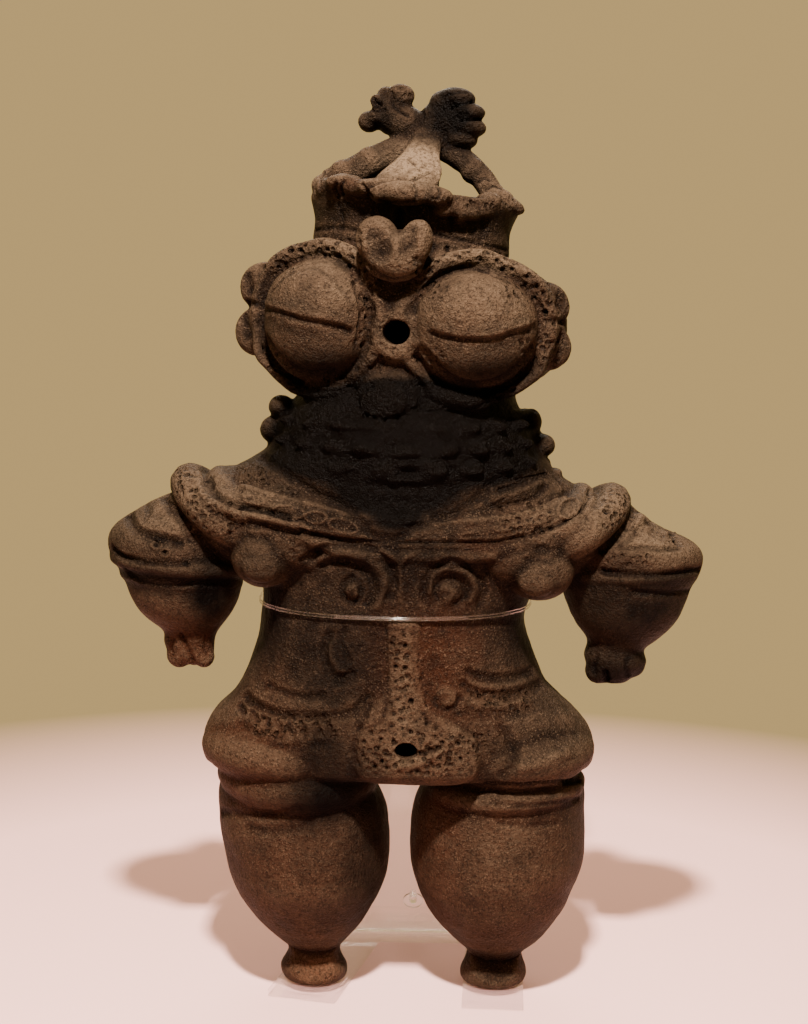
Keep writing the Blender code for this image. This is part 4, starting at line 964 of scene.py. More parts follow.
RIDGES = [
    # Ringed ovals of the chest and neck
    ring((288.7, 512), (16, 5.6), 0.9, -0.75, 8),
    ring((316, 517.5), (10.5, 5.6), 0.9, -0.8, 4),
    ring((343, 526), (15, 6.4), 0.9, -0.7, 15),
    ring((254, 500), (11, 4), 0.9, -0.6, 10),
    ring((569, 509), (11.5, 9), 1.0, -0.9, -35),
    ring((540, 519), (10, 4), 0.9, -0.7, -15),
    ring((504, 527), (10, 3.6), 0.9, -0.6, -8),
    ring((471, 536), (10, 3.6), 0.9, -0.5, -4),
    ring((156.5, 544.5), (5.5, 4.6), 0.8, -0.8),
    ring((165, 553), (5, 4), 0.8, -0.7),
    ring((671, 536), (5, 4.5), 0.9, -0.7),
    # Lips of the lids
    line([
        (266, 303), (281, 308), (297, 312.5), (310, 315), (322, 317), (336, 320.5), (349, 325),
    ], 2.6, -0.55),
    line([(434, 327), (445, 331), (459, 334), (476, 335), (495, 333), (513, 328.5), (527, 324)], 2.4, -0.6),
    line([(280, 322), (295, 327), (310, 329.5), (326, 332)], 3.6, -0.35),
    # Spirals
    line([
        (310, 566), (326, 556), (343, 553), (360, 557), (375, 565), (383, 577), (383, 592), (377, 606),
    ], 2.8, -1.2),
    line([(348, 590), (354, 588), (357, 594)], 3.0, -1.3),
    line([(430, 590), (431, 576), (442, 569), (455, 569), (468, 574), (474, 587), (470, 600)], 2.4, -1.1),
    line([(447, 589), (452, 592), (449, 598)], 3.0, -1.3),
    line([(381, 551), (392, 557), (400, 565), (400, 580), (400, 600)], 1.8, -0.6),
    line([(419, 551), (408, 557), (400, 565)], 1.8, -0.6),
    # Collar folds on the right
    line([(490, 488), (505, 483), (520, 478), (545, 472)], 1.9, -0.9),
    line([(493, 499), (510, 495), (527, 489), (540, 482)], 1.9, -0.8),
    line([(465, 509), (472, 506), (480, 504)], 2.2, -0.8),
    # Yoke on the left
    line([(198, 474), (200, 490), (210, 501), (231, 511), (262, 517.5), (284, 522.5), (309, 530)], 3.0, -1.3),
    # Belly
    line([(331, 646), (332, 658), (338, 668), (344, 671)], 2.0, -0.9),
    line([(336, 690), (350, 688), (362, 682)], 2.2, -0.5),
    line([(244, 733), (262, 737), (278, 742), (290, 744)], 2.4, -0.8),
    line([(470, 683), (487, 687), (508, 686), (524, 681)], 2.4, -0.6),
    line([(470, 703), (490, 706), (512, 704), (528, 699)], 2.4, -0.5),
    line([(397, 768), (410, 767), (423, 762), (439, 753), (450, 741), (458, 729)], 2.4, -0.9),
    line([(443, 692), (450, 696), (447, 702)], 4.0, -1.4),
    line([(522, 768), (545, 763), (566, 752)], 3.6, -0.9),
    line([(392, 480), (394, 479), (396, 480)], 2.4, -0.9),
    line([(387, 456), (393, 455.5), (399, 456)], 2.6, -1.0),
    line([(349, 450), (356, 449), (363, 450)], 2.2, -0.9),
    line([(424, 458), (430, 457), (437, 458)], 2.4, -0.8),
    line([(346, 468), (352, 467), (358, 468)], 2.2, -0.8),
    line([(480, 452), (487, 451), (494, 449)], 2.2, -0.8),
    line([(428, 464), (434, 463.5), (441, 463)], 2.2, -0.7),
    line([(328, 424), (345, 427), (372, 428)], 1.6, -0.7),
]

# Punched holes in the places where they show
FACE_PUNCHES = [(
    [
        (264, 266), (275, 258), (290, 250), (305, 245), (320, 242.5), (336, 244), (350, 248.5), (300, 250),
        (313, 247), (327, 250), (340, 256.5), (349, 266), (356, 280), (361, 296), (364, 312), (352, 258),
        (366, 300), (366, 318), (362, 345), (350, 380), (265, 349), (273, 363), (291, 376), (307, 386),
        (329, 382), (342, 376), (357, 370), (447, 249), (456, 255), (469, 250), (481, 260), (497, 260),
        (502, 269.5), (511, 269.5), (526, 278), (536, 287), (544, 293), (437, 260), (430, 269.5),
        (422, 282), (528, 361), (521, 371), (514, 390), (433, 378), (467, 393), (499, 397), (317, 389),
        (298, 382), (369, 286), (416, 272), (425, 262), (550, 303), (546, 313), (551, 343), (545, 352),
        (365, 391), (372, 387), (366, 415.6), (374.5, 418.7), (385, 421.7), (397, 418.7), (405, 415.6),
        (488, 251), (515, 262),
    ], 1.65, 1.5),
]

BODY_PUNCHES = [(
    [
        (404, 636), (390, 643), (405.4, 646), (397, 655.8), (408, 657), (395.6, 665.6), (406, 668),
        (406.8, 677), (395.6, 681), (408, 686), (397, 690), (397.7, 699.3), (411, 700.7), (404, 709),
        (393.5, 713.3), (405, 719), (391.4, 725.2), (416.6, 721.7), (402, 729), (370.3, 732.3),
        (381.6, 738.6), (371.7, 754), (385.8, 754.7), (363.3, 741.4), (362, 756), (374, 766), (387, 768),
        (393, 740), (410, 732), (419.3, 735), (426.3, 723), (436, 737), (441.7, 742.8), (430, 745),
        (458.6, 743.5), (456.5, 754.7), (461.4, 759), (468.4, 754), (448, 760), (434, 766), (418, 772),
        (466, 742), (378, 747), (365, 748), (382, 761), (177, 478), (183.5, 483.8), (174, 489.4),
        (181, 489.4), (178.7, 498), (170.7, 483), (169, 494), (188, 475), (176, 470), (186, 468),
        (190, 490), (187, 503), (241.7, 491), (613, 493.4), (620, 495), (611, 500.8), (624.5, 490),
        (621, 505.4), (609, 491.7), (628, 500.3), (614.4, 489), (604, 500), (616, 511), (606, 513),
        (156.5, 544.8), (165, 553.3), (671, 536.5), (540, 519), (209, 470), (207, 480),
    ], 1.3, 1.2),
]


# Marks of the back, as places across and up in shares
BACK_GROOVES = [
    line([(-60, 187), (-40, 179), (-15, 174), (0, 173), (15, 174), (40, 178), (58, 185)], 2.6, 1.3),
    line([(-52, 196), (-28, 190), (0, 187), (28, 190), (50, 195)], 2.2, 0.9),
    line(spiral((-25, 150), 4, 15, 1.4, 0.6, 1), 2.2, 1.1, 2),
    line(spiral((25, 150), 4, 15, 1.4, 2.5, -1), 2.2, 1.1, 2),
    *[
        line([(side * 7, 167), (side * 7, 140), (side * 8, 122), (side * 13, 110)], 2.0, 0.9)
        for side in (-1, 1)
    ],
    *[line([(side * 66, 113), (side * 45, 105), (side * 20, 101)], 2.6, 1.2) for side in (-1, 1)],
    line([(-70, 83), (-50, 78), (-26, 80)], 2.8, 1.3),
    line([(72, 83), (52, 78), (29, 80)], 2.8, 1.3),
    line([(-67, 73), (-48, 69), (-27, 71)], 2.4, 0.8),
    line([(70, 73), (52, 69), (30, 71)], 2.4, 0.8),
    line([(-42, 284), (0, 292), (42, 282)], 2.4, 0.9),
    line([(-46, 262), (0, 255), (46, 260)], 2.4, 0.9),
    line(spiral((-26, 272), 3, 11, 1.2, 0.4, 1), 2.0, 0.9, 2),
    line(spiral((26, 271), 3, 11, 1.2, 2.7, -1), 2.0, 0.9, 2),
    line([(-112, 170), (-90, 166), (-68, 169)], 2.2, 1.4),
    line([(112, 168), (90, 164), (68, 168)], 2.2, 1.4),
]
BACK_PUNCHES = [([(2.5 * math.sin(2.4 * step), 164 - 4.2 * step) for step in range(14)], 1.5, 1.3)]

# Patches of tooled clay on the back: left, right, low, high in shares
BACK_PATCHES = [
    (-7, 7, 112, 168), (-60, 60, 176, 188), (-68, -20, 70, 80), (24, 70, 70, 80), (-46, 46, 256, 288),
]


def rows_of(corners, rows, lean=0.0):
    """Level rows of places that fill a patch given by its left, right, top and bottom."""
    left, right, top, bottom = corners
    paths = []
    for row in range(rows):
        down = top + (bottom - top) * (row + 0.5) / rows
        paths.append([(left + lean * row, down), (right + lean * row, down + lean)])
    return paths


# Patches of small pits and cord marks: left, right, top, bottom, and how many leaning rows of pits
PITTED_PATCHES = [
    ((283, 356, 240, 256), 3), ((262, 300, 252, 272), 3), ((350, 372, 258, 345), 13),
    ((430, 515, 250, 266), 3), ((505, 552, 266, 300), 5), ((414, 440, 256, 300), 7),
    ((540, 566, 296, 345), 7), ((280, 350, 374, 390), 3), ((388, 411, 628, 728), 17),
    ((358, 462, 730, 776), 8), ((184, 240, 504, 536), 6), ((168, 200, 464, 508), 8),
    ((602, 632, 486, 532), 8), ((604, 650, 550, 566), 3), ((238, 266, 466, 484), 3),
    ((290, 304, 536, 558), 4), ((262, 292, 350, 378), 4), ((520, 556, 338, 376), 5),
    ((366, 392, 344, 372), 4), ((412, 442, 346, 380), 5), ((250, 340, 716, 738), 4),
    ((440, 490, 732, 758), 4), ((384, 414, 83, 96), 3), ((433, 523, 198, 208), 2),
    ((470, 530, 688, 712), 4), ((500, 548, 500, 540), 5),
]
SMALL_PITS = [(path, 1.1, 0.5) for corners, rows in PITTED_PATCHES for path in rows_of(corners, rows, 1.5)]


def clay_form():
    """The figure's clay as overlapping lofts, lumps and rolls, in shares."""
    clay = bmesh.new()
    rolls = []
    add_legs(clay)
    for add in (add_body, add_neck_rolls, add_arms, add_head, add_crown):
        add(clay, rolls)
    clay.from_mesh(strands_mesh("clay_rolls", rolls, 1.0))
    shape = bpy.data.meshes.new("dogu_clay")
    clay.to_mesh(shape)
    clay.free()
    return shape


def hole_cutter(name, centre, radii, depth, place):
    """A round cutter that points into the figure from the front."""
    bpy.ops.mesh.primitive_cylinder_add(vertices=40, radius=1.0, depth=1.0)
    cutter = bpy.context.object
    cutter.name = name
    lie = Matrix.Rotation(math.radians(-90), 4, "X")
    from_face = Matrix.Diagonal((*radii, depth, 1)) @ Matrix.Translation((0, 0, 0.5))
    cutter.data.transform(place @ Matrix.Translation(centre) @ lie @ from_face)
    return cutter


def fuse_clay(shape):
    """One closed skin over the whole form, with the nose and navel holes cut in."""
    figure = linked("dogu_clay", shape)
    cutters = [
        hole_cutter("nose_hole", (2.4, -48, -4.6), (5.0, 4.5), 30, head_place()),
        hole_cutter("navel_hole", (2.3, -48, 104.6), (4.2, 3.0), 22, Matrix.Identity(4)),
    ]
    for cuts in (cutters, []):
        fuse = figure.modifiers.new("fuse", "REMESH")
        fuse.mode = "VOXEL"
        fuse.voxel_size = FINE_VOXEL
        for cutter in cuts:
            cut = figure.modifiers.new(cutter.name, "BOOLEAN")
            cut.operation = "DIFFERENCE"
            cut.solver = "FAST"
            cut.object = cutter
    soften = figure.modifiers.new("soften", "SMOOTH")
    soften.factor = 0.5
    soften.iterations = 8
    settle(figure)
    for cutter in cutters:
        bpy.data.objects.remove(cutter, do_unlink=True)
    return figure


def arrays_of(shape):
    """A mesh's places and outward directions as rows."""
    count = len(shape.vertices)
    spots = np.empty(count * 3)
    facing = np.empty(count * 3)
    shape.vertices.foreach_get("co", spots)
    shape.vertices.foreach_get("normal", facing)
    return spots.reshape(-1, 3), facing.reshape(-1, 3)


def keep_places(shape, spots):
    """Give a mesh its changed places."""
    shape.vertices.foreach_set("co", np.ascontiguousarray(spots).ravel())
    shape.update()


def carve_clay(figure, finish):
    """Run every layer of marks over the clay, then the uneven skin."""
    pressed = pressed_marks_tree()
    # Name, marks, where they lie, the eye, spacing and jitter in metres, change of size, seed
    layers = [
        ("ridges", RIDGES, seen, EYE, 0.0004, 0.00008, 0.03, 3),
        ("body_grooves", BODY_GROOVES, seen, EYE, 0.0004, 0.00008, 0.03, 4),
        ("crown_grooves", CROWN_GROOVES, seen, EYE, 0.0004, 0.00008, 0.03, 5),
        ("face_grooves", FACE_GROOVES, seen, EYE, 0.0004, 0.0, 0.0, 6),
        ("back_grooves", BACK_GROOVES, behind, BEHIND_EYE, 0.0005, 0.00008, 0.03, 10),
        ("back_punches", BACK_PUNCHES, behind, BEHIND_EYE, 0.0, 0.0004, 0.2, 11),
        ("small_pits", SMALL_PITS, seen, EYE, 0.0026, 0.0008, 0.4, 7),
        ("body_punches", BODY_PUNCHES, seen, EYE, 0.0, 0.0003, 0.2, 8),
        ("face_punches", FACE_PUNCHES, seen, EYE, 0.0, 0.0003, 0.2, 9),
    ]
    for name, marks, spot_of, eye, spacing, jitter, change, seed in layers:
        wire = marks_object(name, marks, spot_of)
        run_tree(figure, pressed, {
            "Marks": wire, "Seen from": tuple(eye), "Spacing": spacing, "Jitter": jitter,
            "Size change": change, "Seed": seed, "Finish": finish,
        })
        settle(figure)
        bpy.data.objects.remove(wire, do_unlink=True)
    run_tree(figure, uneven_skin_tree(), {
        "Wave": 0.0009, "Wave size": 0.016, "Dent": 0.00035, "Dent size": 0.0042, "Finish": finish,
    })
    settle(figure)


def thin_clay(figure):
    """Bring the clay under its limit of triangles, keeping them where the form bends."""
    figure.data.update()
    thin = figure.modifiers.new("thin", "DECIMATE")
    thin.ratio = min(1.0, CLAY_TRIANGLES / (2 * len(figure.data.polygons)))
    settle(figure)


def wear_feet(shape):
    """Flatten the worn upper front edge of each foot."""
    spots, _ = arrays_of(shape)
    for across, back, up, slope in WORN_EDGES:
        away = np.array((0.0, -math.cos(slope), math.sin(slope)))
        corner = np.array(FIGURE_PLACE @ Vector((across, back, up)))
        near = np.abs(spots[:, 0] - corner[0]) < WORN_HALF_WIDTH * SHARE
        low = spots[:, 2] < corner[2] + WORN_HEIGHT * SHARE
        proud = (spots - corner) @ away
        cut = near & low & (proud > 0)
        spots[cut] -= away * (proud[cut] * WORN_AWAY)[:, None]
    keep_places(shape, spots)

# Where the clay's tones lie, soot also standing for painted shadow: centre and reach in shares, then strength
TONES = {
    # Soot, and painted shadow where shade falls: the head's shadow over the neck and the chest's V, shade
    # under the chin and mouth, the lower lids, the crown's rim and the hips, in the armpits and on the inner
    # legs
    "soot_and_shade": [
        ((0, -34, 223), (66, 34, 20), 2.4), ((0, -44, 237), (44, 14, 7), 1.4),
        ((-4, -38, 204), (27, 14, 13), 1.6), ((-3, -40, 194), (14, 14, 9), 1.2),
        ((2, -32, 239), (44, 18, 8), 1.2), ((-20, -28, 306), (28, 16, 8), 0.24),
        ((24, -22, 304), (22, 18, 9), 0.2), ((15, -4, 346), (16, 16, 16), 1.0),
        ((-74, -20, 164), (13, 16, 17), 0.9), ((88, -16, 157), (30, 28, 21), 0.78),
        ((85, -6, 131), (18, 18, 13), 1.0), ((-10, -2, 346), (14, 12, 12), 0.72),
        ((24, -4, 326), (12, 10, 10), 0.35), ((0, -38, 172), (40, 14, 15), 0.52),
        ((-53, -34, 172), (16, 12, 13), 0.35), ((-24, -38, 98), (18, 18, 14), 0.68),
        ((35, -36, 98), (9, 14, 14), 0.35), ((-26, -34, 83), (21, 22, 14), 1.0),
        ((-54, -12, 150), (14, 30, 20), 0.8), ((50, -12, 150), (14, 30, 20), 0.9),
        ((-28, -36, 138), (26, 14, 22), 0.55), ((102, -18, 168), (17, 24, 6), 0.85),
        ((40, -20, 6), (14, 12, 5), 0.62), ((-96, -20, 180), (17, 18, 12), 0.2),
        ((51, -34, 169), (16, 12, 13), 0.3), ((-14, -20, 58), (11, 28, 38), 0.6),
        ((-30, -44, 247), (23, 24, 9), 0.92), ((34, -43, 247), (24, 24, 8), 0.74),
        ((-92, -18, 167), (26, 22, 7), 0.7), ((0, 4, 84), (20, 30, 8), 0.6),
        ((30, 30, 150), (30, 20, 60), 0.5), ((-50, 34, 240), (30, 20, 40), 0.6),
    ],
    "dust": [
        ((2, -20, 323), (15, 14, 15), 1.0), ((-3, -35, 317), (15, 8, 5), 0.3),
        ((1, -44, 292), (16, 12, 12), 0.12), ((-32, -36, 291), (28, 14, 7), 0.32),
        ((36, -36, 290), (28, 14, 7), 0.34), ((-20, -48, 276), (12, 12, 8), 0.2),
        ((33, -48, 269), (20, 12, 12), 0.12), ((-62, -34, 198), (24, 14, 9), 0.18),
        ((-80, -24, 202), (14, 18, 10), 0.25), ((64, -34, 194), (24, 14, 9), 0.18),
        ((80, -22, 198), (14, 18, 10), 0.3), ((-96, -20, 188), (18, 20, 11), 0.12),
        ((96, -20, 186), (18, 20, 12), 0.3), ((-38, -5, 318), (8, 10, 8), 0.25),
        ((36, -8, 316), (12, 12, 6), 0.25), ((4, -44, 104), (30, 12, 12), 0.16),
        ((2, -46, 132), (8, 12, 26), 0.36), ((42, -36, 62), (13, 14, 20), 0.12),
        ((-2, -40, 254), (14, 10, 7), 0.12), ((3, -42, 262), (14, 12, 12), 0.10),
        ((-48, -34, 58), (20, 16, 26), 0.035),
    ],
    "red": [
        ((-84, -8, 142), (17, 18, 16), 1.0), ((14, -40, 138), (26, 14, 26), 0.8),
        ((-62, -26, 100), (28, 26, 18), 0.8), ((14, -20, 58), (13, 30, 38), 1.0),
        ((-44, -28, 58), (26, 22, 36), 0.6), ((46, -28, 56), (26, 22, 34), 0.4),
        ((2, -38, 252), (12, 8, 10), 0.12), ((84, -28, 176), (14, 10, 5), 0.6),
        ((0, -40, 104), (34, 12, 14), 0.5), ((-40, 34, 110), (34, 16, 26), 0.7),
        ((40, 34, 60), (26, 16, 30), 0.6),
    ],
    "worn": [
        ((-33, -13, 7), (16, 9, 7), 1.0), ((40, -13, 2.5), (15, 8, 4), 0.13),
        ((-83, -10, 136), (12, 12, 9), 0.15),
    ],
}


def hollowness(shape, rounds, full):
    """How hollow (1) or proud (-1) each point is, from a softened copy of the form."""
    spots, facing = arrays_of(shape)
    ends = np.empty(len(shape.edges) * 2, dtype=np.int64)
    shape.edges.foreach_get("vertices", ends)
    first, second = ends.reshape(-1, 2).T
    count = len(spots)
    joined = np.maximum(np.bincount(first, minlength=count) + np.bincount(second, minlength=count), 1)
    soft = spots.copy()
    for _ in range(rounds):
        for axis in range(3):
            total = np.bincount(first, soft[second, axis], count)
            total = total + np.bincount(second, soft[first, axis], count)
            soft[:, axis] = (soft[:, axis] + total / joined) / 2
    return np.clip(((soft - spots) * facing).sum(axis=1) / full, -1, 1)


def inside(values, low, high, edge):
    """How far inside a range each value lies, from 0 to 1 over an edge."""
    return np.clip(np.minimum(values - low, high - values) / edge + 0.5, 0, 1)


def tooled_clay(spots, facing):
    """Where the clay is covered with small punctures, from the patches on its front and back."""
    from_eye = spots - np.array(EYE)
    depth = from_eye @ np.array(AHEAD)
    across = PICTURE_WIDE / 2 + FOCAL * (from_eye @ np.array(RIGHT)) / depth
    down = PICTURE_TALL / 2 - FOCAL * (from_eye @ np.array(UP)) / depth
    front = np.zeros(len(spots))
    for (left, right, top, bottom), _ in PITTED_PATCHES:
        front = np.maximum(front, inside(across, left, right, 12) * inside(down, top, bottom, 10))
    front *= np.clip(-(facing @ np.array(AHEAD)) * 4, 0, 1)
    shares = (spots - np.array(MIDDLE)) / SHARE
    back = np.zeros(len(spots))
    for left, right, low, high in BACK_PATCHES:
        back = np.maximum(back, inside(shares[:, 0], left, right, 5) * inside(shares[:, 2], low, high, 4))
    return np.maximum(front, back * np.clip(facing[:, 1] * 4, 0, 1))


def keep_tones(shape):
    """Write what the clay's finish needs onto its points."""
    spots, facing = arrays_of(shape)
    shares = (spots - np.array(MIDDLE)) / SHARE
    values = {"upward": np.clip(facing[:, 2], 0, 1)}
    for name, blobs in TONES.items():
        amount = np.zeros(len(spots))
        for centre, reach, strength in blobs:
            away = ((shares - np.array(centre)) / np.array(reach)) ** 2
            amount = np.maximum(amount, strength * np.exp(-away.sum(axis=1) ** 1.5))
        values[name] = amount
    values["tooled"] = tooled_clay(spots, facing)
    values["pitted"] = hollowness(shape, *SMALL_HOLLOWS)
    values["hollow"] = hollowness(shape, *WIDE_HOLLOWS)
    for name, amount in values.items():
        shape.attributes.new(name, "FLOAT", "POINT").data.foreach_set("value", amount.astype(np.float32))


# Finishes

def new_finish(name):
    """A material with an empty Principled shader."""
    finish = bpy.data.materials.new(name)
    finish.use_nodes = True
    tree = finish.node_tree
    return finish, tree, tree.nodes["Principled BSDF"]


# The clay's colours; the soot colour also paints shadow and shade
CLAY = {
    "dark": (0.0044, 0.0024, 0.0015),
    "brown": (0.0145, 0.0083, 0.0050),
    "red": (0.0265, 0.0090, 0.0043),
    "soot_and_shade": (0.0008, 0.0005, 0.0004),
    "dust": (0.1200, 0.0840, 0.0540),
    "worn": (0.0800, 0.0400, 0.0225),
    "rubbed": (0.0330, 0.0182, 0.0108),
    "grain": (0.1250, 0.0840, 0.0540),
}


def mixed(tree, share, first, second):
    """One colour over another by a share."""
    node = join(tree, "ShaderNodeMix", {0: share}, data_type="RGBA")
    for number, colour in ((6, first), (7, second)):
        if isinstance(colour, bpy.types.NodeSocket):
            tree.links.new(colour, node.inputs[number])
        else:
            node.inputs[number].default_value = (*colour, 1.0)
    return node.outputs[2]


def clay_finish():
    """Dark fired clay: brown and reddish ground, soot with painted shadow and shade, dust, grit and small
    pale grains.
    """
    finish, tree, shader = new_finish("fired_clay")
    place = join(tree, "ShaderNodeTexCoord").outputs["Object"]

    def noise(size_mm, detail, rough=0.5, where=place, output=0):
        """Noise whose blotches are about a size in millimetres."""
        return join(tree, "ShaderNodeTexNoise", {
            "Vector": where, "Scale": 1.0 / (size_mm * MM), "Detail": detail, "Roughness": rough,
        }).outputs[output]

    def kept(name):
        """A value kept on the clay's points."""
        held = join(tree, "ShaderNodeAttribute", attribute_name=name, attribute_type="GEOMETRY")
        return held.outputs["Fac"]

    # Short names for this tree's sums and mixes
    def soft(value, low, high, to_low=0.0, to_high=1.0):
        return spread(tree, value, low, high, to_low, to_high)

    def over(share, first, second):
        return mixed(tree, share, first, second)

    def plus(first, second):
        return sum_of(tree, "ADD", first, second)

    def less(first, second):
        return sum_of(tree, "SUBTRACT", first, second)

    def times(first, second):
        return sum_of(tree, "MULTIPLY", first, second)

    def most(first, second):
        return sum_of(tree, "MAXIMUM", first, second)

    def least(first, second):
        return sum_of(tree, "MINIMUM", first, second)

    # Blotches of falling size, and upright strokes on the legs
    cloud = noise(34, 5.0, 0.6)
    patch = noise(9, 5.0, 0.65)
    mottle = noise(3.2, 4.0, 0.65)
    grit = noise(1.1, 3.0, 0.7)
    grain = noise(0.65, 2.0, 0.6)
    tall = join(tree, "ShaderNodeMapping", {"Vector": place, "Scale": (1.0, 1.0, 0.22)}).outputs[0]
    stroke = noise(0.8, 3.0, where=tall)
    height = join(tree, "ShaderNodeSeparateXYZ", {0: place}).outputs["Z"]
    stroked = soft(height, 0.085, 0.060)
    # The smallest pits, in uneven cells where the clay is tooled
    uneven = vector_sum(tree, "SUBTRACT", noise(2.0, 1.0, output="Color"), (0.5, 0.5, 0.5))
    pushed = vector_sum(tree, "ADD", place, vector_sum(tree, "SCALE", uneven, scale=0.0012))
    cells = join(tree, "ShaderNodeTexVoronoi", {"Vector": pushed, "Scale": 1.0 / (2.9 * MM)}, feature="F1")
    pit = times(soft(cells.outputs["Distance"], 0.46, 0.20), soft(patch, 0.2, 0.5, 0.4, 1.0))
    pit = times(pit, kept("tooled"))
    # Ground from dark to brown, red in places, paler where it stands proud
    colour = over(soft(patch, 0.3, 0.7), CLAY["dark"], CLAY["brown"])
    red = plus(kept("red"), soft(cloud, 0.52, 0.75, 0.0, 0.45))
    red = times(red, soft(patch, 0.15, 0.6))
    colour = over(least(red, 0.9), colour, CLAY["red"])
    proud = most(soft(kept("pitted"), -0.05, -0.8, 0.0, 0.5), times(kept("tooled"), 0.45))
    colour = over(proud, colour, CLAY["rubbed"])
    # Dust on what faces up and in its own places, held back in hollows, which darkens them as painted shade
    settled = times(soft(kept("upward"), 0.1, 0.9), soft(patch, 0.25, 0.75, 0.01, 0.08))
    dust = times(plus(kept("dust"), settled), soft(mottle, 0.3, 0.62, 0.45, 1.15))
    dust = less(dust, times(kept("hollow"), 0.2))
    dust = join(tree, "ShaderNodeClamp", {0: dust, 1: 0.0, 2: 0.9}).outputs[0]
    colour = over(dust, colour, CLAY["dust"])
    colour = over(times(kept("worn"), 0.9), colour, CLAY["worn"])
    # Dark grit and strokes, then small pale grains
    colour = over(soft(grit, 0.50, 0.62, 0.0, 0.6), colour, CLAY["dark"])
    colour = over(times(soft(stroke, 0.5, 0.62, 0.0, 0.3), stroked), colour, CLAY["dark"])
    specks = times(soft(grain, 0.54, 0.70, 0.0, 0.42), soft(mottle, 0.35, 0.6, 0.3, 1.0))
    colour = over(specks, colour, CLAY["grain"])
    # Soot and painted shadow in patches, and painted shade in hollows and in pits
    soot_and_shade = plus(kept("soot_and_shade"), soft(cloud, 0.5, 0.3, 0.0, 0.3))
    soot_and_shade = times(soot_and_shade, soft(patch, 0.9, 0.35, 0.9, 1.0))
    # Painted shade: the clay is darkened in its hollows and small pits, and in the tooled cells' pits
    deep = most(soft(kept("pitted"), 0.1, 1.0, 0.0, 0.7), soft(kept("hollow"), 0.15, 1.0, 0.0, 0.6))
    soot_and_shade = most(soot_and_shade, most(deep, times(pit, 0.6)))
    thin = less(0.985, times(specks, 0.08))
    tree.links.new(over(least(soot_and_shade, thin), colour, CLAY["soot_and_shade"]), shader.inputs["Base Color"])
    gloss = plus(soft(patch, 0.2, 0.8, 0.42, 0.60), times(dust, 0.25))
    tree.links.new(less(gloss, times(soot_and_shade, 0.12)), shader.inputs["Roughness"])
    # The fine grain of the surface
    rough = plus(plus(times(grit, 0.8), times(grain, 0.5)), times(mottle, 1.4))
    rough = plus(rough, times(times(stroke, stroked), 0.5))
    rough = less(rough, times(pit, 1.2))
    bump = join(tree, "ShaderNodeBump", {"Strength": 1.0, "Distance": 0.0011, "Height": rough})
    tree.links.new(bump.outputs[0], shader.inputs["Normal"])
    shader.inputs["Specular IOR Level"].default_value = 0.03
    return finish


def clear_finish(name, colour, roughness, solidity):
    """See-through plastic, by plain values on its shader."""
    finish, _, shader = new_finish(name)
    for label, value in (
        ("Base Color", (*colour, 1.0)), ("Roughness", roughness), ("Transmission Weight", 1.0), ("IOR", 1.49),
        ("Alpha", solidity),
    ):
        shader.inputs[label].default_value = value
    return finish


# The stand

def smooth_edged(node, width, finish):
    """A CAD plate again, with its sharp edges softly broken."""
    shape = frame["nodes"][node].data.copy()
    shape.materials.clear()
    shape.materials.append(finish)
    sheet = bmesh.new()
    sheet.from_mesh(shape)
    bmesh.ops.remove_doubles(sheet, verts=sheet.verts, dist=0.00002)
    bmesh.ops.dissolve_limit(sheet, angle_limit=math.radians(2), verts=sheet.verts, edges=sheet.edges)
    sheet.to_mesh(shape)
    sheet.free()
    for face in shape.polygons:
        face.material_index = 0
        face.use_smooth = False
    piece = linked(node + "_clear", shape)
    edge = piece.modifiers.new("edge", "BEVEL")
    edge.width = width
    edge.segments = 2
    edge.limit_method = "ANGLE"
    edge.angle_limit = math.radians(40)
    settle(piece)
    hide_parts(node)
    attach(piece, "root")


def line_route():
    """The middle of the clear line all the way round, found from its CAD tube."""
    tube = BVHTree.FromObject(frame["nodes"]["waist_line"], bpy.context.evaluated_depsgraph_get())
    low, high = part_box("waist_line")
    middle = (low + high) / 2
    slope = (high.z - low.z - TUBE_THICK) / (high.y - low.y - TUBE_THICK)
    route = []
    for angle in round_angles(120):
        heading = Vector((math.cos(angle), math.sin(angle), 0))
        heading.z = heading.y * slope
        heading.normalize()
        near = tube.ray_cast(middle, heading)[0]
        if near is None:
            continue
        far = tube.ray_cast(near + heading * JUST_INSIDE, heading)[0] or near
        route.append((near + far) / 2)
    return route


def waist_strands(finish):
    """The line doubled round the waist, with a clear sleeve over its front."""
    route = line_route()
    middle = sum(route, Vector()) / len(route)
    runs = []
    for lift in (STRAND_LIFT, -STRAND_LIFT):
        path = []
        for spot in route:
            inward = (middle - spot).normalized() * STRAND_INSET
            path.append((*(spot + inward + Vector((0, 0, lift * MM))), STRAND_RADIUS))
        runs.append((path, True))
    front = [spot for spot in route if spot.y < middle.y and abs(spot.x - MIDDLE.x) < SLEEVE_HALF]
    front.sort(key=lambda spot: spot.x)
    runs.append(([(*spot, SLEEVE_RADIUS) for spot in front], False))
    shape = strands_mesh("waist_strands", runs, MM)
    shape.materials.clear()
    shape.materials.append(finish)
    for face in shape.polygons:
        face.use_smooth = True
    return linked("waist_strands", shape)


# The room

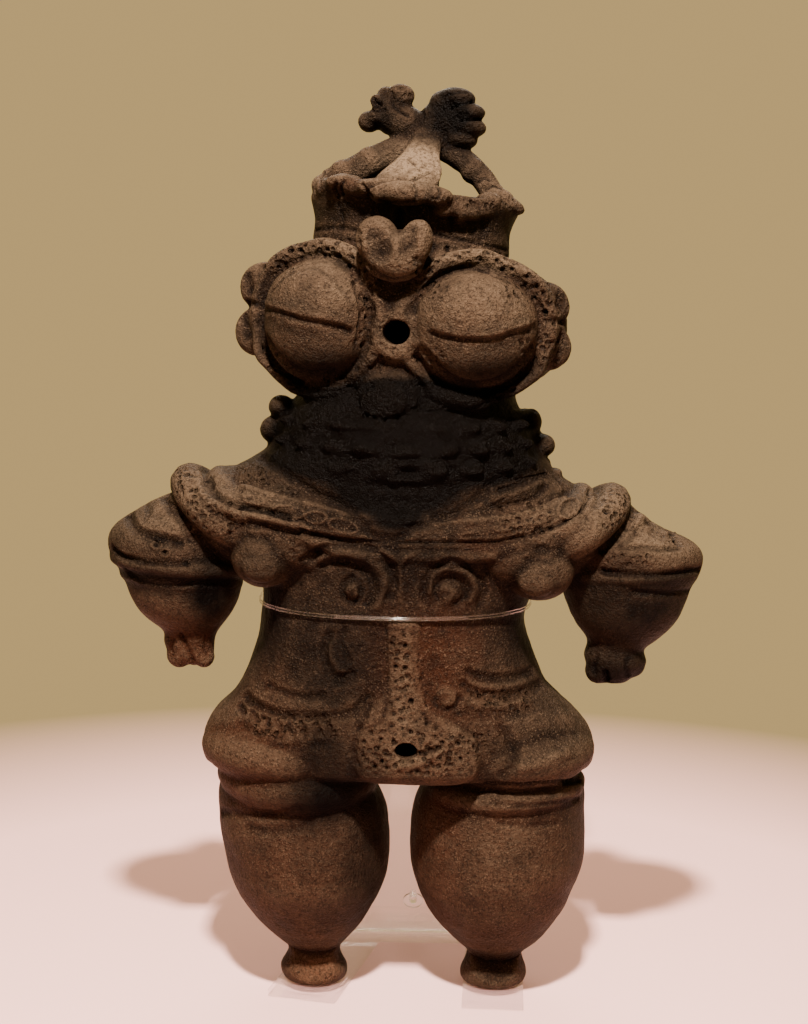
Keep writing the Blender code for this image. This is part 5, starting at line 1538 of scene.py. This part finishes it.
def add_floor():
    """A pale floor that fades away behind the figure."""
    bpy.ops.mesh.primitive_circle_add(
        vertices=96, radius=FLOOR_RADIUS, fill_type="NGON", location=(0, 0, -FLOOR_GAP)
    )
    floor = bpy.context.object
    floor.name = "floor"
    finish, tree, shader = new_finish("pale_floor")
    shader.inputs["Base Color"].default_value = (*FLOOR_COLOUR, 1)
    shader.inputs["Roughness"].default_value = 0.75
    place = join(tree, "ShaderNodeTexCoord").outputs["Object"]
    far = vector_sum(tree, "LENGTH", place, output="Value")
    near, end = FLOOR_FADE
    fade = join(tree, "ShaderNodeMapRange", {
        "Value": far, "From Min": near, "From Max": end, "To Min": 1.0, "To Max": 0.0,
    })
    tree.links.new(fade.outputs[0], shader.inputs["Alpha"])
    floor.data.materials.append(finish)


def add_light(name, spot, power, size, colour):
    """A soft square light that looks at the figure."""
    lamp = bpy.data.lights.new(name, "AREA")
    lamp.energy = power
    lamp.size = size
    lamp.color = colour
    holder = linked(name, lamp)
    holder.location = spot
    holder.rotation_euler = (Vector(LIT_SPOT) - Vector(spot)).to_track_quat("-Z", "Y").to_euler()


def add_room():
    """Floor, world and lights."""
    add_floor()
    world = bpy.data.worlds.new("room")
    world.use_nodes = True
    sky = world.node_tree.nodes["Background"]
    sky.inputs["Color"].default_value = (*WALL_COLOUR, 1)
    sky.inputs["Strength"].default_value = WALL_STRENGTH
    bpy.context.scene.world = world
    add_light("key_spot", tuple(MIDDLE + Vector((-0.02, -0.56, 0.90))), 51.0, 0.06, (1.0, 0.86, 0.74))
    add_light("back_soft", (0.0, 0.7, 0.9), 8.0, 0.6, (1.0, 0.88, 0.76))


# Making

def make_figure():
    """The whole clay figure as one piece."""
    finish = clay_finish()
    figure = fuse_clay(clay_form())
    figure.data.transform(FIGURE_PLACE)
    figure.data.materials.clear()
    figure.data.materials.append(finish)
    carve_clay(figure, finish)
    thin_clay(figure)
    wear_feet(figure.data)
    keep_tones(figure.data)
    for face in figure.data.polygons:
        face.use_smooth = True
    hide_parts("dogu_figure")
    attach(figure, "root")


def make_stand():
    """The clear base, upright, screw and line."""
    clear = clear_finish("clear_acrylic", (0.96, 0.985, 0.98), 0.03, 0.5)
    clear_base = clear_finish("clear_base", (0.96, 0.985, 0.98), 0.03, 0.3)
    clear_screw = clear_finish("clear_screw", (0.90, 0.92, 0.92), 0.1, 1.0)
    strand = clear_finish("clear_line", (0.95, 0.93, 0.90), 0.12, 1.0)
    for node, finish in (("stand_base", clear_base), ("stand_upright", clear), ("stand_screw", clear_screw)):
        smooth_edged(node, EDGE_WIDTH, finish)
    loop = waist_strands(strand)
    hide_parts("waist_line")
    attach(loop, "root")


add_camera()
make_figure()
make_stand()
add_room()
